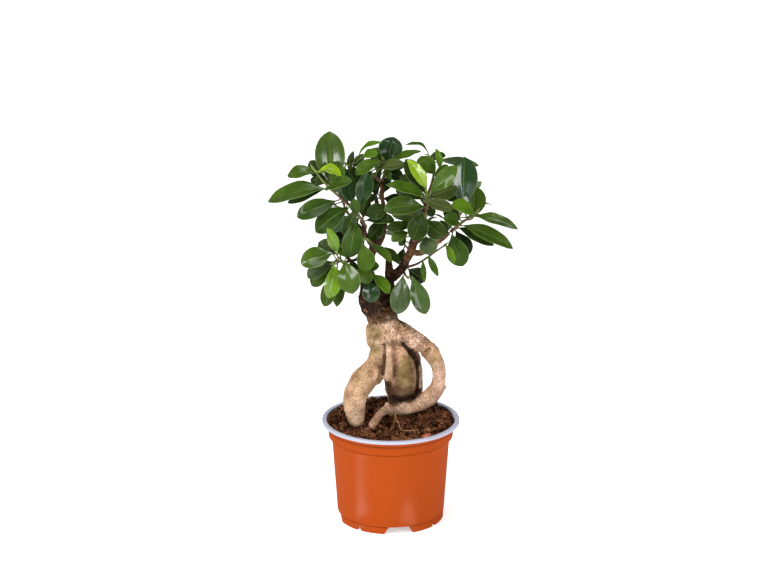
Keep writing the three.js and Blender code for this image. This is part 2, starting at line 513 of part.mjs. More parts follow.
// The leafy stems that the viewer sees, from the upper left round to the lower left
const FRONT_STEMS = {
  upper_left: {
    radius: 1.6,
    line: [[-26.1, 270.6, -4], [-31, 278, -6], [-42, 288, -8], [-54, 299, -10], [-65, 313, -9]],
    leaves: [
      readLeaf([-49, 299, -7], [-51.8, 346, -2], 28, 0, 2),
      readLeaf([-62, 310.5, -7], [-87.5, 308, 2], 13, 30, 3),
      readLeaf([-56, 301, -3], [-68, 321, 6], 13, 10),
      readLeaf([-61, 312, -12], [-42, 310.5, -19], 8, 60, 6),
      readLeaf([-57, 296.5, -11], [-105, 285.7, 10], 20, 38, 2),
      readLeaf([-55, 301, -7], [-68, 304.5, -4], 8, 0),
      readLeaf([-57, 296, -5], [-88, 284, 14], 11, 20),
      readLeaf([-47, 285.5, -13], [-80, 272, -17], 17, 20, 2),
      readLeaf([-48, 283, -5], [-79.5, 270.5, -3], 8, -30),
      readLeaf([-36, 279.5, -14], [-64, 258, -21], 19, 15, 3),
      readLeaf([-55, 295, -15], [-33, 303.5, -25], 13, 45),
      readLeaf([-49, 300, -12], [-41, 317, -12], 13, 10),
    ],
  },
  left_of_centre: {
    radius: 1.4,
    line: [[-21, 263, -6.5], [-24, 268, -11], [-27, 273, -15], [-28.5, 277, -17]],
    leaves: [
      readLeaf([-27, 281, -16], [-19, 310, -14], 15, -10, 2),
      readLeaf([-29, 275, -19], [-31.5, 287.5, -24], 9, 0),
      readLeaf([-30, 269, -17], [-35.5, 235.5, -21], 18, 10, 2),
      readLeaf([-22, 273, -11], [-4, 278.5, -13], 14, 0),
      readLeaf([-21, 268.5, -9], [3, 269, -13], 11, 30),
      readLeaf([-30, 279, -16], [-39, 255, -20], 11, 0),
      readLeaf([-24, 272, -8], [-21, 290, -7], 12, 0),
    ],
  },
  top_left: {
    radius: 1.5,
    line: [[-8.2, 302.6, 3.2], [-14, 307, 4], [-24, 311, 3], [-34, 315.5, 2], [-38, 318, 1]],
    leaves: [
      readLeaf([-39, 315, -4], [-34, 285, -11], 14, 0, 2),
      readLeaf([-37, 316, 3], [-33.5, 326, 4], 8, 0),
      readLeaf([-31, 317, 3], [-25, 325, 8], 11, 30),
      readLeaf([-27, 325, 2], [-7, 336.5, -4], 8, 60, 4),
      readLeaf([-24, 324, 0], [-11, 327, -6], 9, 30),
      readLeaf([-9, 320.5, -5], [-30, 309, -9], 13, 30, 2),
      readLeaf([-16, 311, -1], [-31, 300, -3], 12, 10),
      readLeaf([-28, 315, -2], [-37, 303, -4], 12, 0),
      readLeaf([-12, 314, -1], [12, 317.5, -7], 12, 40),
    ],
  },
  top: {
    radius: 1.4,
    line: [[-7.6, 303, 5.2], [-5, 311, 9], [-6, 320, 9], [-6.5, 322, 8.5]],
    leaves: [
      readLeaf([-2.5, 319, 9], [2.3, 341, 13], 21, 0, 2),
      readLeaf([-2, 319, 6], [25, 329.5, 0], 10, 50, 1),
      readLeaf([-4, 314, 4], [-1, 304, -4], 6, 0),
      readLeaf([-8, 312, 12], [-20, 296, 14], 13, 10),
      readLeaf([-6, 319, 12], [-12.5, 332, 16], 9, 0),
      readLeaf([-2, 310, 5], [10, 304, 0], 11, 20),
    ],
  },
  upper_right: {
    radius: 1.5,
    line: [[28.8, 273.6, -15.3], [31, 281, -18], [31, 289, -20], [30, 294, -21]],
    leaves: [
      readLeaf([29.5, 297, -23], [14, 322, -30], 12, 25, 2),
      readLeaf([30, 292, -18], [12.5, 322, -20], 16, 0),
      readLeaf([28, 290, -24], [-3.5, 300.5, -33], 13, 40, 2),
      readLeaf([28, 280.5, -21], [-6, 278, -32], 18, 25, 2),
      readLeaf([27, 287, -16], [4, 295, -14], 12, 20),
      readLeaf([27, 291, -11], [8, 308, -9], 13, 0),
      readLeaf([34, 294, -24], [55.5, 316, -31], 14, 0, 2),
      readLeaf([33, 289, -17], [56, 298, -18], 15, 0),
      readLeaf([29, 285, -27], [53, 278.5, -35], 11, 20, 1),
      readLeaf([31, 283, -14], [35.5, 272, -17], 9, 0),
    ],
  },
  top_right: {
    radius: 1.4,
    line: [[31, 290, -8], [35, 303, -9], [36.5, 313, -10], [36, 319, -11]],
    leaves: [
      readLeaf([32, 325, -12], [12.5, 334.5, -17], 8, 70, 5),
      readLeaf([30, 320, -5], [46, 326, 0], 9, 30),
      readLeaf([37, 309, -16], [25, 324, -20], 13, 10),
      readLeaf([41, 314, -14], [38, 331, -12], 7, 30),
      readLeaf([41, 321, -6], [74.5, 316.5, 0], 9, 20, 2),
      readLeaf([33, 318, -7], [22, 321, -2], 9, 20),
      readLeaf([38, 300, -5], [57, 287, -3], 13, 0),
      readLeaf([37, 305, -13], [48, 317, -15], 9, 0),
    ],
  },
  right: {
    radius: 1.6,
    line: [[50.9, 258.9, -11.4], [56, 263, -12], [62, 268, -12], [70, 273, -12], [72, 275, -12]],
    leaves: [
      readLeaf([62, 281, -15], [62, 324, -10], 24, 0, 2),
      readLeaf([69, 270, -7], [70.5, 299, -3], 21, 0),
      readLeaf([71, 274, -16], [51.5, 282, -32], 15, 40, 2),
      readLeaf([72, 272.5, -14], [108, 261.5, -38], 12, 35, 3),
      readLeaf([62, 264, -15], [104.5, 244, -24], 15, 30, 3),
      readLeaf([58, 262, -9], [88, 246.5, -12], 12, 20, 3),
      readLeaf([52, 256, -18], [61.5, 228, -24], 19, 0, 1),
      readLeaf([55.5, 259, -5], [65.5, 237, -6], 16, 0, 1),
      readLeaf([58, 266, -17], [45, 271, -27], 12, 20),
      readLeaf([47, 257, -15], [42, 268.5, -18], 9, 0),
      readLeaf([50, 264, -9], [36.5, 274, -12], 6, 80),
      readLeaf([59, 269, -9], [45, 280, -6], 13, 0),
    ],
  },
  right_twig: {
    radius: 1.3,
    line: [[14.5, 227.5, -7.5], [22, 230, -12], [30, 235, -15], [38, 241, -16], [45, 246, -18]],
    leaves: [
      readLeaf([49.5, 245, -26], [55, 230, -40], 8, 0, 1),
      readLeaf([32, 236.5, -17], [39.5, 219.5, -24], 9, 0),
      readLeaf([28, 234, -15], [29.5, 214, -22], 8, 0),
      readLeaf([15, 225.5, -10], [29.5, 215, -13], 15, 0),
    ],
  },
  right_of_centre: {
    radius: 1.4,
    line: [[19.2, 250.4, -8.9], [21, 256, -14], [24, 262, -18], [27.5, 269, -20], [28.5, 271, -20.5]],
    leaves: [
      readLeaf([27, 275, -26], [19, 251, -36], 18, 0, 2),
      readLeaf([29, 268, -25], [45, 253.5, -31], 16, 0, 2),
      readLeaf([30, 254, -27], [33, 238, -36], 16, 0, 1),
      readLeaf([15, 258, -18], [0.5, 250.5, -24], 11, 30),
      readLeaf([13, 254, -12], [7, 246.5, -13], 6, 0),
      readLeaf([17, 263, -16], [-4, 261.5, -20], 10, 20),
      readLeaf([18, 264, -13], [11, 274, -10], 9, 0),
      readLeaf([24, 271, -15], [0, 275.5, -13], 11, 0),
    ],
  },
  right_below: {
    radius: 1.2,
    line: [[11.5, 222.4, -6.5], [12.5, 220.5, -9], [13.5, 219, -11]],
    leaves: [
      readLeaf([10.5, 219.5, -14], [6, 185, -22], 18, 0, 1),
      readLeaf([18, 219, -19], [30.3, 185, -24], 16, 0, 1),
    ],
  },
  centre: {
    radius: 1.2,
    line: [[-13.7, 247, -1.1], [-16, 249, -6], [-19, 251, -8]],
    leaves: [
      readLeaf([-16, 246.5, -12], [1, 231.5, -18], 9, 30, 2),
      readLeaf([-8, 245, -7], [8, 230, -9], 9, 30),
      readLeaf([-19, 250, -3], [-8, 267, -1], 13, 0),
    ],
  },
  centre_below: {
    radius: 1.2,
    line: [[-22.4, 218, -8.6], [-22, 221, -11], [-21, 225, -13]],
    leaves: [
      readLeaf([-21, 214.5, -17], [-14, 196, -24], 15, 0, 1),
      readLeaf([-17, 221, -15], [-1, 204, -22], 11, 30, 2),
      readLeaf([-19, 226, -14], [-10, 228, -22], 10, 30),
      readLeaf([-27, 230, -17], [-18, 213, -20], 13, 0),
    ],
  },
  left_middle: {
    radius: 1.2,
    line: [[-25.6, 244, -8.9], [-25, 247, -12], [-24, 250, -15]],
    leaves: [
      readLeaf([-23, 247, -22], [-20.5, 223.5, -29], 16, 0, 1),
    ],
  },
  behind_fork: {
    radius: 1.1,
    line: [[15, 243.5, 1.2], [13.5, 245, 4], [12, 247, 6]],
    leaves: [
      readLeaf([11, 244, 6], [7.5, 232, 4], 8, 0),
    ],
  },
  inner: {
    radius: 1.2,
    line: [[-7.3, 286, 5.2], [-9, 288.5, 11], [-9, 292, 17]],
    leaves: [
      readLeaf([-11, 292, 19], [-18, 305, 25], 14, 0),
      readLeaf([-6, 293, 18], [-3, 306, 20], 11, 0),
      readLeaf([-6, 288, 15], [9, 285, 19], 12, 0),
      readLeaf([-11, 288.5, 14], [-23, 288, 18], 9, 0),
    ],
  },
  left_low: {
    radius: 1.4,
    line: [[-39.6, 232, -18.6], [-43, 232.5, -20], [-47, 233, -21.5], [-49, 231.5, -22]],
    leaves: [
      readLeaf([-50, 239.5, -22], [-77, 230.5, -29], 19, 20, 2),
      readLeaf([-49, 232, -21], [-71.5, 218, -22], 15, 20),
      readLeaf([-50, 229, -15], [-68, 210.5, -14], 14, 10),
      readLeaf([-48.5, 230, -27], [-53, 199.5, -36], 15, 15, 2),
      readLeaf([-39, 232, -25], [-32.5, 203.5, -37], 21, 0, 2),
      readLeaf([-46, 226, -20], [-45.5, 209, -24], 12, 0),
      readLeaf([-44, 222, -16], [-57.5, 192, -21], 14, 10, 2),
      readLeaf([-40, 220, -11], [-47, 191.5, -13], 12, 20),
      readLeaf([-46, 241, -24], [-54, 262, -27], 10, 10, 2),
      readLeaf([-47, 239, -17], [-61.5, 249.5, -15], 15, 10),
      readLeaf([-44, 244, -12], [-44, 259, -7], 9, 0),
      readLeaf([-38.5, 236, -21], [-46.5, 247.5, -18], 9, 20),
      readLeaf([-38, 229, -14], [-29, 226, -12], 9, 20),
    ],
  },
};

// A small generator of even random numbers, the same on every run
function randomNumbers(seed) {
  let state = seed;
  return () => {
    state = (Math.imul(state, 1664525) + 1013904223) >>> 0;
    return state / 4294967296;
  };
}

// The stems that the viewer can't see. Their leaves stand round the stem at the golden angle,
// the lower ones spread wide and the upper ones closed towards the bud
const GOLDEN_ANGLE = 137.5;
const BACK_LEAF = {
  length: 30,
  width: 17,
  spread: 62,
  closing: 34,
  droop: 0.12,
  flatness: 0.75,
  stem: 1.4,
};
const BACK_STEMS = {
  back_upper_left: {
    seed: 11,
    leaves: 5,
    turn: 115,
    line: [[-36, 274, 27.5], [-39, 280, 30], [-42, 288, 31]],
  },
  back_top: {
    seed: 12,
    leaves: 6,
    turn: 350,
    line: [[-13.9, 295.4, 30.3], [-13, 300, 31.5], [-11, 307, 33]],
  },
  back_upper_right: {
    seed: 13,
    leaves: 6,
    turn: 95,
    line: [[30.1, 271.4, 23.8], [29, 279, 26], [27, 289, 29]],
  },
  back_right: {
    seed: 14,
    leaves: 5,
    turn: 345,
    line: [[54, 268.4, 21.5], [59, 274, 25], [63, 282, 28]],
  },
  back_left: {
    seed: 15,
    leaves: 5,
    turn: 105,
    line: [[-38, 236.5, 26.5], [-41, 240, 29], [-43, 245, 31]],
  },
  back_low_right: {
    seed: 16,
    leaves: 5,
    turn: 175,
    line: [[20.2, 247, 28.8], [19.5, 248.5, 30.5], [20, 251, 32.2]],
  },
};

function backLeaves({ seed, leaves, turn, line }) {
  const random = randomNumbers(seed);
  const curve = new THREE.CatmullRomCurve3(line.map((point) => seen(...point)));
  const sky = new THREE.Vector3(0, 0, 1);
  return Array.from({ length: leaves }, (_, index) => {
    const share = index / (leaves - 1);
    const place = curve.getPoint(0.35 + 0.65 * share);
    const way = curve.getTangent(0.35 + 0.65 * share);
    const first = new THREE.Vector3().crossVectors(way, sky).normalize();
    const second = new THREE.Vector3().crossVectors(first, way);
    const angle = THREE.MathUtils.degToRad(turn + GOLDEN_ANGLE * index + 20 * (random() - 0.5));
    const spread = THREE.MathUtils.degToRad(BACK_LEAF.spread - BACK_LEAF.closing * share);
    const out = first.multiplyScalar(Math.cos(angle)).addScaledVector(second, Math.sin(angle));
    const aim = way.clone().multiplyScalar(Math.cos(spread)).addScaledVector(out, Math.sin(spread));
    aim.z -= BACK_LEAF.droop;
    aim.y *= BACK_LEAF.flatness;
    aim.normalize();
    const length = BACK_LEAF.length * (1 - 0.25 * share) * (0.9 + 0.2 * random());
    const base = place.clone().addScaledVector(aim, STALK_LENGTH * 0.8);
    const tip = place.clone().addScaledVector(aim, STALK_LENGTH * 0.8 + length);
    const facing = way.clone().multiplyScalar(0.6).add(sky).normalize();
    const width = (BACK_LEAF.width * length) / BACK_LEAF.length;
    return { base, tip, facing, width, arch: 2, folded: false };
  });
}

const backStems = Object.entries(BACK_STEMS).map(
  ([name, stem]) => [name, { line: stem.line, radius: BACK_LEAF.stem, leaves: backLeaves(stem) }],
);
const stems = [...Object.entries(FRONT_STEMS), ...backStems];

const group = new THREE.Group();
group.add(mesh("pot", pot(), terracottaPlastic));
group.add(mesh("soil", soil(), darkSoil));
group.add(mesh("trunk", plant(), paleBark));
stems.forEach(([name, stem]) => group.add(mesh(`leafy_stem_${name}`, leafyStem(stem), leafGreen)));

export default group;
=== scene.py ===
"""Fine model of a ficus ginseng bonsai in its nursery pot, built over its plain solids"""

import math

import bpy
import numpy as np
from bpy.props import FloatProperty, FloatVectorProperty, IntProperty, PointerProperty
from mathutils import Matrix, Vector, noise


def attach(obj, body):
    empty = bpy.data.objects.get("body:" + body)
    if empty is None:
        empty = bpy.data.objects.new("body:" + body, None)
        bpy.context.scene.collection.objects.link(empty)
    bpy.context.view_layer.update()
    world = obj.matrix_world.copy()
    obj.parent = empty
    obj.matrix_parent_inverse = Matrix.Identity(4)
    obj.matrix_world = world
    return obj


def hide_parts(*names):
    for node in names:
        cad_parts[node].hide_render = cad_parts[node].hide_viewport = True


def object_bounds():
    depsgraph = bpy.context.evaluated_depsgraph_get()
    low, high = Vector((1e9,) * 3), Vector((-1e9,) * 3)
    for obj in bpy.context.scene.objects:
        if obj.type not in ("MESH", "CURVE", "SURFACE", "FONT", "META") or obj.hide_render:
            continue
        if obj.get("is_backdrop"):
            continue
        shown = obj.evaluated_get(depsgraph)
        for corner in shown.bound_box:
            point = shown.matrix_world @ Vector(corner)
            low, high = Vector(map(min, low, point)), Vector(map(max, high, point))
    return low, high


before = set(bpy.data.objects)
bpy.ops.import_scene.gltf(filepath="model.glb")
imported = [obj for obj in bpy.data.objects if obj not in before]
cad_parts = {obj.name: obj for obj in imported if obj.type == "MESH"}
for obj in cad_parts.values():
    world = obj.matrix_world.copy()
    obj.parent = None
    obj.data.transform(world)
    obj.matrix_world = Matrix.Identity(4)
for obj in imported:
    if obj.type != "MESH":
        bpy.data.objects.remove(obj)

bl_info = {
    "name": "Ficus ginseng bonsai",
    "version": (1, 0, 0),
    "blender": (4, 5, 0),
    "location": "3D View > Sidebar > Bonsai",
    "description": "Builds a potted ficus ginseng bonsai over its plain solids",
    "category": "Add Mesh",
}

SOLID_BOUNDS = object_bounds()
MM = 0.001


# Sizes and colours that a user would change

def size(name, description, default, low=0.0, high=1.0):
    return FloatProperty(
        name=name, description=description, default=default, min=low, max=high,
        precision=5, subtype="DISTANCE", unit="LENGTH",
    )


def share(name, description, default):
    return FloatProperty(
        name=name, description=description, default=default, min=0, max=1, subtype="FACTOR",
    )


def whole_number(name, description, default, low, high):
    return IntProperty(name=name, description=description, default=default, min=low, max=high)


def light_level(name, description, default, unit="NONE"):
    return FloatProperty(name=name, description=description, default=default, min=0, unit=unit)


def colour(name, description, default):
    return FloatVectorProperty(
        name=name, description=description, default=(*default, 1), size=4, min=0, max=1,
        subtype="COLOR",
    )


class PotSettings(bpy.types.PropertyGroup):
    rim_radius: size("Rim radius", "From the pot's middle to the outside of its lip", 0.060)
    rim_top: size("Rim height", "Height of the lip above the ground", 0.0903)
    lip_width: size("Lip width", "Width of the flat lip", 0.004)
    sides: whole_number("Sides", "Faces round the pot", 144, 24, 256)
    outside: colour("Outside", "Colour of the outer plastic", (0.375, 0.057, 0.005))
    inside: colour("Inside", "Colour of the lip and the inner plastic", (0.44, 0.455, 0.55))
    roughness: share("Roughness", "How dull the outer plastic is", 0.42)


class SoilSettings(bpy.types.PropertyGroup):
    clods: whole_number("Clods", "Large crumbs on the soil", 260, 0, 400)
    crumbs: whole_number("Crumbs", "Small crumbs on the soil", 2200, 0, 4000)
    fibres: whole_number("Fibres", "Coir fibres on the soil", 2200, 0, 3000)
    dark: colour("Dark peat", "Colour of wet peat", (0.009, 0.0032, 0.0018))
    light: colour("Light peat", "Colour of dry peat", (0.78, 0.275, 0.14))
    fibre: colour("Fibre", "Colour of the coir fibres", (0.78, 0.37, 0.17))


class WoodSettings(bpy.types.PropertyGroup):
    grain_size: size("Mesh size", "Size of the faces on the wood", 0.00075, 0.0005, 0.003)
    lumps: size("Lumps", "Height of the broad lumps on the roots", 0.0007, 0, 0.005)
    rasp: size("Rasp", "Height of the rough bark on neck and branches", 0.0009, 0, 0.005)
    freckle: colour("Freckles", "Colour of the freckles on the pale roots", (0.055, 0.022, 0.011))
    moss: colour("Moss", "Colour of the olive film on the roots", (0.155, 0.125, 0.028))


class LeafSettings(bpy.types.PropertyGroup):
    thickness: size("Thickness", "Thickness of a blade", 0.00045, 0.0001, 0.002)
    fold: share("Fold", "How far a blade folds up along its midrib", 0.34)
    wave: size("Wave", "Height of the waves along a blade's edge", 0.0005, 0, 0.003)
    midrib: colour("Midrib", "Colour of the midrib", (0.17, 0.28, 0.06))
    # The edge colour is partly the blade's own pale margin and partly a painted rim highlight
    edge: colour("Edge", "Colour of a blade's thin edge", (0.16, 0.26, 0.07))
    under: colour("Underside", "Colour that the undersides fade to", (0.10, 0.17, 0.085))
    stalk: colour("Stalk", "Colour of the leaf stalks", (0.16, 0.205, 0.042))
    gloss: share("Roughness", "How dull the upper side of a blade is", 0.3)


class StageSettings(bpy.types.PropertyGroup):
    floor: colour("Floor", "Colour of the floor", (0.93, 0.93, 0.93))
    glow: light_level("Glow", "Light that the floor itself gives", 0.5)
    sky: light_level("Sky", "Strength of the even light", 0.15)
    key: light_level("Key", "Strength of the soft light at the left", 0.5)
    top: light_level("Top", "Strength of the soft light above", 1.7)
    strip: light_level("Strips", "Power of the tall lit strips", 4.4, "POWER")
    box: light_level("Box", "Power of the small lit box in front", 1.6, "POWER")
    streak: light_level("Streak", "Power of the lamp that the pot mirrors", 0.095, "POWER")


# Places on the plant

# The camera's place, and the way from the plant to it
EYE = np.array([-4.15, -1761.7, 736.5])
TO_EYE = np.array([0, -0.957, 0.288]) / math.hypot(0.957, 0.288)
SKY = np.array([0.0, 0.0, 1.0])


def seen(across, up, behind):
    """A place seen so far across and up in the upright plane through the pot's middle, but really
    lying so far behind that plane on the same line of sight, all in millimetres"""
    reach = (behind - EYE[1]) / -EYE[1]
    x = EYE[0] + (across - EYE[0]) * reach
    z = EYE[2] + (up - EYE[2]) * reach
    return np.array([x, behind, z])


def unit(vector):
    return vector / np.linalg.norm(vector)


class SmoothLine:
    """A smooth line through points, which the plain solids follow too"""

    def __init__(self, points):
        self.points = [np.array(point, float) for point in points]

    def at(self, part):
        points = self.points
        last = len(points) - 1
        place = last * min(max(part, 0.0), 1.0)
        index = min(int(place), last - 1)
        weight = place - index
        first, second = points[index], points[index + 1]
        before = points[index - 1] if index else 2 * points[0] - points[1]
        after = points[index + 2] if index + 2 <= last else 2 * points[-1] - points[-2]
        steps = [
            max(np.linalg.norm(end - start) ** 0.5, 1e-4)
            for start, end in ((before, first), (first, second), (second, after))
        ]
        leave = (first - before) / steps[0] - (second - before) / (steps[0] + steps[1])
        leave = (leave + (second - first) / steps[1]) * steps[1]
        arrive = (second - first) / steps[1] - (after - first) / (steps[1] + steps[2])
        arrive = (arrive + (after - second) / steps[2]) * steps[1]
        bend = -3 * first + 3 * second - 2 * leave - arrive
        turn = 2 * first - 2 * second + leave + arrive
        return first + leave * weight + bend * weight ** 2 + turn * weight ** 3

    def way(self, part):
        return unit(self.at(min(1, part + 1e-4)) - self.at(max(0, part - 1e-4)))

    def nearest(self, place):
        tries = [self.at(step / 40) for step in range(41)]
        return min(tries, key=lambda there: np.linalg.norm(there - place))


def seen_line(points):
    return SmoothLine([seen(*point) for point in points])


def turned(x, y, angle):
    """A place turned about the origin by an angle"""
    return x * math.cos(angle) - y * math.sin(angle), x * math.sin(angle) + y * math.cos(angle)


def random_numbers(seed):
    """Even random numbers from 0 to 1, the same on every run"""
    state = seed
    while True:
        state = (state * 1664525 + 1013904223) & 0xFFFFFFFF
        yield state / 4294967296


def smoothed(value):
    """A number from 0 to 1 with a soft start and end"""
    value = np.clip(value, 0, 1)
    return value * value * (3 - 2 * value)


def above(heights, start, spread):
    """From 0 under a start to 1 so far above it"""
    return smoothed((heights - start) / spread)


def noise_at(where, scale):
    """Soft noise, mostly from -1 to 1, at each place"""
    return np.array([noise.noise(Vector(spot * scale)) for spot in where])


# Modelling helpers

def deselect():
    bpy.ops.object.select_all(action="DESELECT")


def activate(piece):
    deselect()
    piece.select_set(True)
    bpy.context.view_layer.objects.active = piece


def edit(piece, select="SELECT"):
    activate(piece)
    bpy.ops.object.mode_set(mode="EDIT")
    bpy.ops.mesh.select_all(action=select)


def leave_edit():
    bpy.ops.object.mode_set(mode="OBJECT")


def apply_modifier(piece, kind, **settings):
    modifier = piece.modifiers.new(kind, kind)
    for name, value in settings.items():
        setattr(modifier, name, value)
    activate(piece)
    bpy.ops.object.modifier_apply(modifier=modifier.name)


def places(piece):
    """The places of a piece's vertices, in millimetres"""
    flat = np.zeros(len(piece.data.vertices) * 3)
    piece.data.vertices.foreach_get("co", flat)
    return flat.reshape(-1, 3) / MM


def set_places(piece, where):
    piece.data.vertices.foreach_set("co", (np.asarray(where) * MM).astype(np.float32).ravel())
    piece.data.update()


def normals(piece):
    flat = np.zeros(len(piece.data.vertices) * 3)
    piece.data.vertices.foreach_get("normal", flat)
    return flat.reshape(-1, 3)


def painted(piece, name):
    """Takes the number stored for each vertex off the piece"""
    layer = piece.data.attributes[name]
    values = np.zeros(len(layer.data))
    layer.data.foreach_get("value", values)
    piece.data.attributes.remove(layer)
    return values


def paint(piece, name, values):
    """Stores one colour or one number for each vertex"""
    values = np.asarray(values, float)
    if values.ndim == 2:
        layer = piece.data.attributes.new(name, "FLOAT_COLOR", "POINT")
        full = np.ones((len(values), 4))
        full[:, :3] = values
        layer.data.foreach_set("color", full.astype(np.float32).ravel())
    else:
        layer = piece.data.attributes.new(name, "FLOAT", "POINT")
        layer.data.foreach_set("value", values.astype(np.float32))


def paint_all(piece, name, value):
    """Stores the same colour or number for every vertex"""
    paint(piece, name, [value] * len(piece.data.vertices))


def join(pieces, name):
    deselect()
    for piece in pieces:
        piece.select_set(True)
    bpy.context.view_layer.objects.active = pieces[0]
    if len(pieces) > 1:
        bpy.ops.object.join()
    whole = bpy.context.view_layer.objects.active
    whole.name = name
    whole.data.name = name
    return whole


def merge_doubles(piece, distance=0.002):
    edit(piece)
    bpy.ops.mesh.remove_doubles(threshold=distance * MM)
    leave_edit()


def smooth(piece, angle):
    activate(piece)
    bpy.ops.object.shade_smooth_by_angle(angle=math.radians(angle), keep_sharp_edges=False)


def copy_of(pattern, name):
    made = bpy.data.objects.new(name, pattern.data.copy())
    bpy.context.scene.collection.objects.link(made)
    return made


def mount(piece, slot, *nodes):
    """Rides on the plant's one body, and stands for the plain solids that it refines"""
    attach(piece, "root")
    if nodes:
        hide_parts(*nodes)


def dress(piece, materials, angle, slot, *nodes):
    """Gives a finished piece its materials, its shading and its place in the assembly"""
    piece.data.materials.clear()
    for material in materials:
        piece.data.materials.append(material)
    smooth(piece, angle)
    mount(piece, slot, *nodes)


def pull_along(outline):
    """Pulls the chosen ring from the outline's first radius and height to each next one"""
    for (radius, height), (next_radius, next_height) in zip(outline, outline[1:]):
        bpy.ops.mesh.extrude_edges_move(
            TRANSFORM_OT_translate={"value": (0, 0, (next_height - height) * MM)},
        )
        ratio = next_radius / radius
        bpy.ops.transform.resize(value=(ratio, ratio, 1), center_override=(0, 0, 0))


def sheet_pattern(name, columns, rows):
    """A flat grid two units wide and two long, to be shaped into blades or wrapped into tubes"""
    deselect()
    bpy.ops.mesh.primitive_grid_add(x_subdivisions=columns, y_subdivisions=rows, size=2)
    pattern = bpy.context.active_object
    pattern.name = name
    return pattern


def tube(pattern, name, centres, ways, facing, widths, depths=None):
    """A closed tube wrapped from a grid: its end rows are drawn together to a point"""
    depths = widths if depths is None else depths
    flat = places(pattern) * MM
    rows = len(centres)
    row = np.rint((flat[:, 1] + 1) / 2 * (rows - 1)).astype(int)
    round_ = (flat[:, 0] + 1) * math.pi
    centres, ways = np.array(centres), np.array(ways)
    facing = np.broadcast_to(facing, ways.shape)
    side = np.cross(ways, facing)
    side /= np.linalg.norm(side, axis=1)[:, None]
    inward = np.cross(ways, side)
    widths, depths = np.array(widths, float), np.array(depths, float)
    widths[[0, -1]] = 0
    depths[[0, -1]] = 0
    out = side[row] * (widths[row] * np.cos(round_))[:, None]
    out += inward[row] * (depths[row] * np.sin(round_))[:, None]
    made = copy_of(pattern, name)
    set_places(made, centres[row] + out)
    return made


def tube_line(line, steps):
    """Even parts of a line with both ends doubled, for a closed tube, and its places and ways"""
    parts = np.concatenate([[0], np.linspace(0, 1, steps), [1]])
    return parts, [line.at(part) for part in parts], [line.way(part) for part in parts]


# Shader helpers

def node(tree, kind, wires=None, **settings):
    made = tree.nodes.new(kind)
    for name, value in settings.items():
        setattr(made, name, value)
    for name, value in (wires or {}).items():
        if isinstance(value, bpy.types.NodeSocket):
            tree.links.new(value, made.inputs[name])
        else:
            made.inputs[name].default_value = value
    return made


def calc(tree, operation, first, second=0.0, third=0.0, clamp=False):
    made = node(tree, "ShaderNodeMath", {0: first, 1: second, 2: third}, operation=operation)
    made.use_clamp = clamp
    return made.outputs[0]


def times(tree, first, second):
    return calc(tree, "MULTIPLY", first, second)


def remap(tree, value, low, high, to_low=0.0, to_high=1.0):
    made = node(tree, "ShaderNodeMapRange", {
        "Value": value, "From Min": low, "From Max": high, "To Min": to_low, "To Max": to_high,
    })
    made.interpolation_type = "SMOOTHSTEP"
    return made.outputs["Result"]


def blend(tree, amount, first, second, how="MIX"):
    wires = {0: amount, 6: first, 7: second}
    return node(tree, "ShaderNodeMix", wires, data_type="RGBA", blend_type=how).outputs[2]


def shaded(tree, tone, by):
    """A colour times another"""
    return blend(tree, 1.0, tone, (*by, 1), "MULTIPLY")


def attribute(tree, name, output="Color"):
    return node(tree, "ShaderNodeAttribute", attribute_name=name).outputs[output]


def noise_value(tree, place, scale, detail=3.0, roughness=0.55):
    made = node(tree, "ShaderNodeTexNoise", {
        "Vector": place, "Scale": scale, "Detail": detail, "Roughness": roughness,
    })
    return made.outputs["Fac"]


def object_place(tree):
    return node(tree, "ShaderNodeTexCoord").outputs["Object"]


def bump(tree, height, strength, distance):
    wires = {"Height": height, "Strength": strength, "Distance": distance}
    return node(tree, "ShaderNodeBump", wires).outputs["Normal"]


def surface(material, base, roughness, normal=None, **others):
    """Ends a material in one shader, whose other sockets take a constant or a wire"""
    wires = {socket.replace("_", " "): value for socket, value in others.items()}
    wires.update({"Base Color": base, "Roughness": roughness})
    if normal is not None:
        wires["Normal"] = normal
    shader = node(material.node_tree, "ShaderNodeBsdfPrincipled", wires)
    node(material.node_tree, "ShaderNodeOutputMaterial", {"Surface": shader.outputs["BSDF"]})
    return material


def new_material(name):
    material = bpy.data.materials.new(name)
    material.use_nodes = True
    material.node_tree.nodes.clear()
    return material, material.node_tree


def effect(name, inputs, outputs, wire):
    """A shader node group that is made once and used by several materials"""
    if name in bpy.data.node_groups:
        return bpy.data.node_groups[name]
    tree = bpy.data.node_groups.new(name, "ShaderNodeTree")
    for label, default in inputs.items():
        socket = tree.interface.new_socket(label, in_out="INPUT", socket_type="NodeSocketFloat")
        socket.default_value = default
    for label in outputs:
        tree.interface.new_socket(label, in_out="OUTPUT", socket_type="NodeSocketFloat")
    start = tree.nodes.new("NodeGroupInput")
    end = tree.nodes.new("NodeGroupOutput")
    for label, value in wire(tree, start.outputs).items():
        tree.links.new(value, end.inputs[label])
    return tree


def use(tree, group, **values):
    made = tree.nodes.new("ShaderNodeGroup")
    made.node_tree = group
    for label, value in values.items():
        made.inputs[label].default_value = value
    return made.outputs


def mottle():
    """Broad patches and fine grain, both from 0 to 1"""
    def wire(tree, given):
        place = object_place(tree)
        return {
            "Patches": noise_value(tree, place, given["Patch scale"]),
            "Grain": noise_value(tree, place, given["Grain scale"], 4.0, 0.6),
        }
    return effect("mottle", {"Patch scale": 60.0, "Grain scale": 900.0}, ["Patches", "Grain"], wire)


def mottled(tree, patch_scale, grain_scale):
    return use(tree, mottle(), **{"Patch scale": patch_scale, "Grain scale": grain_scale})


FRECKLE_SHAPE = (0.8, 0.8, 1.7)


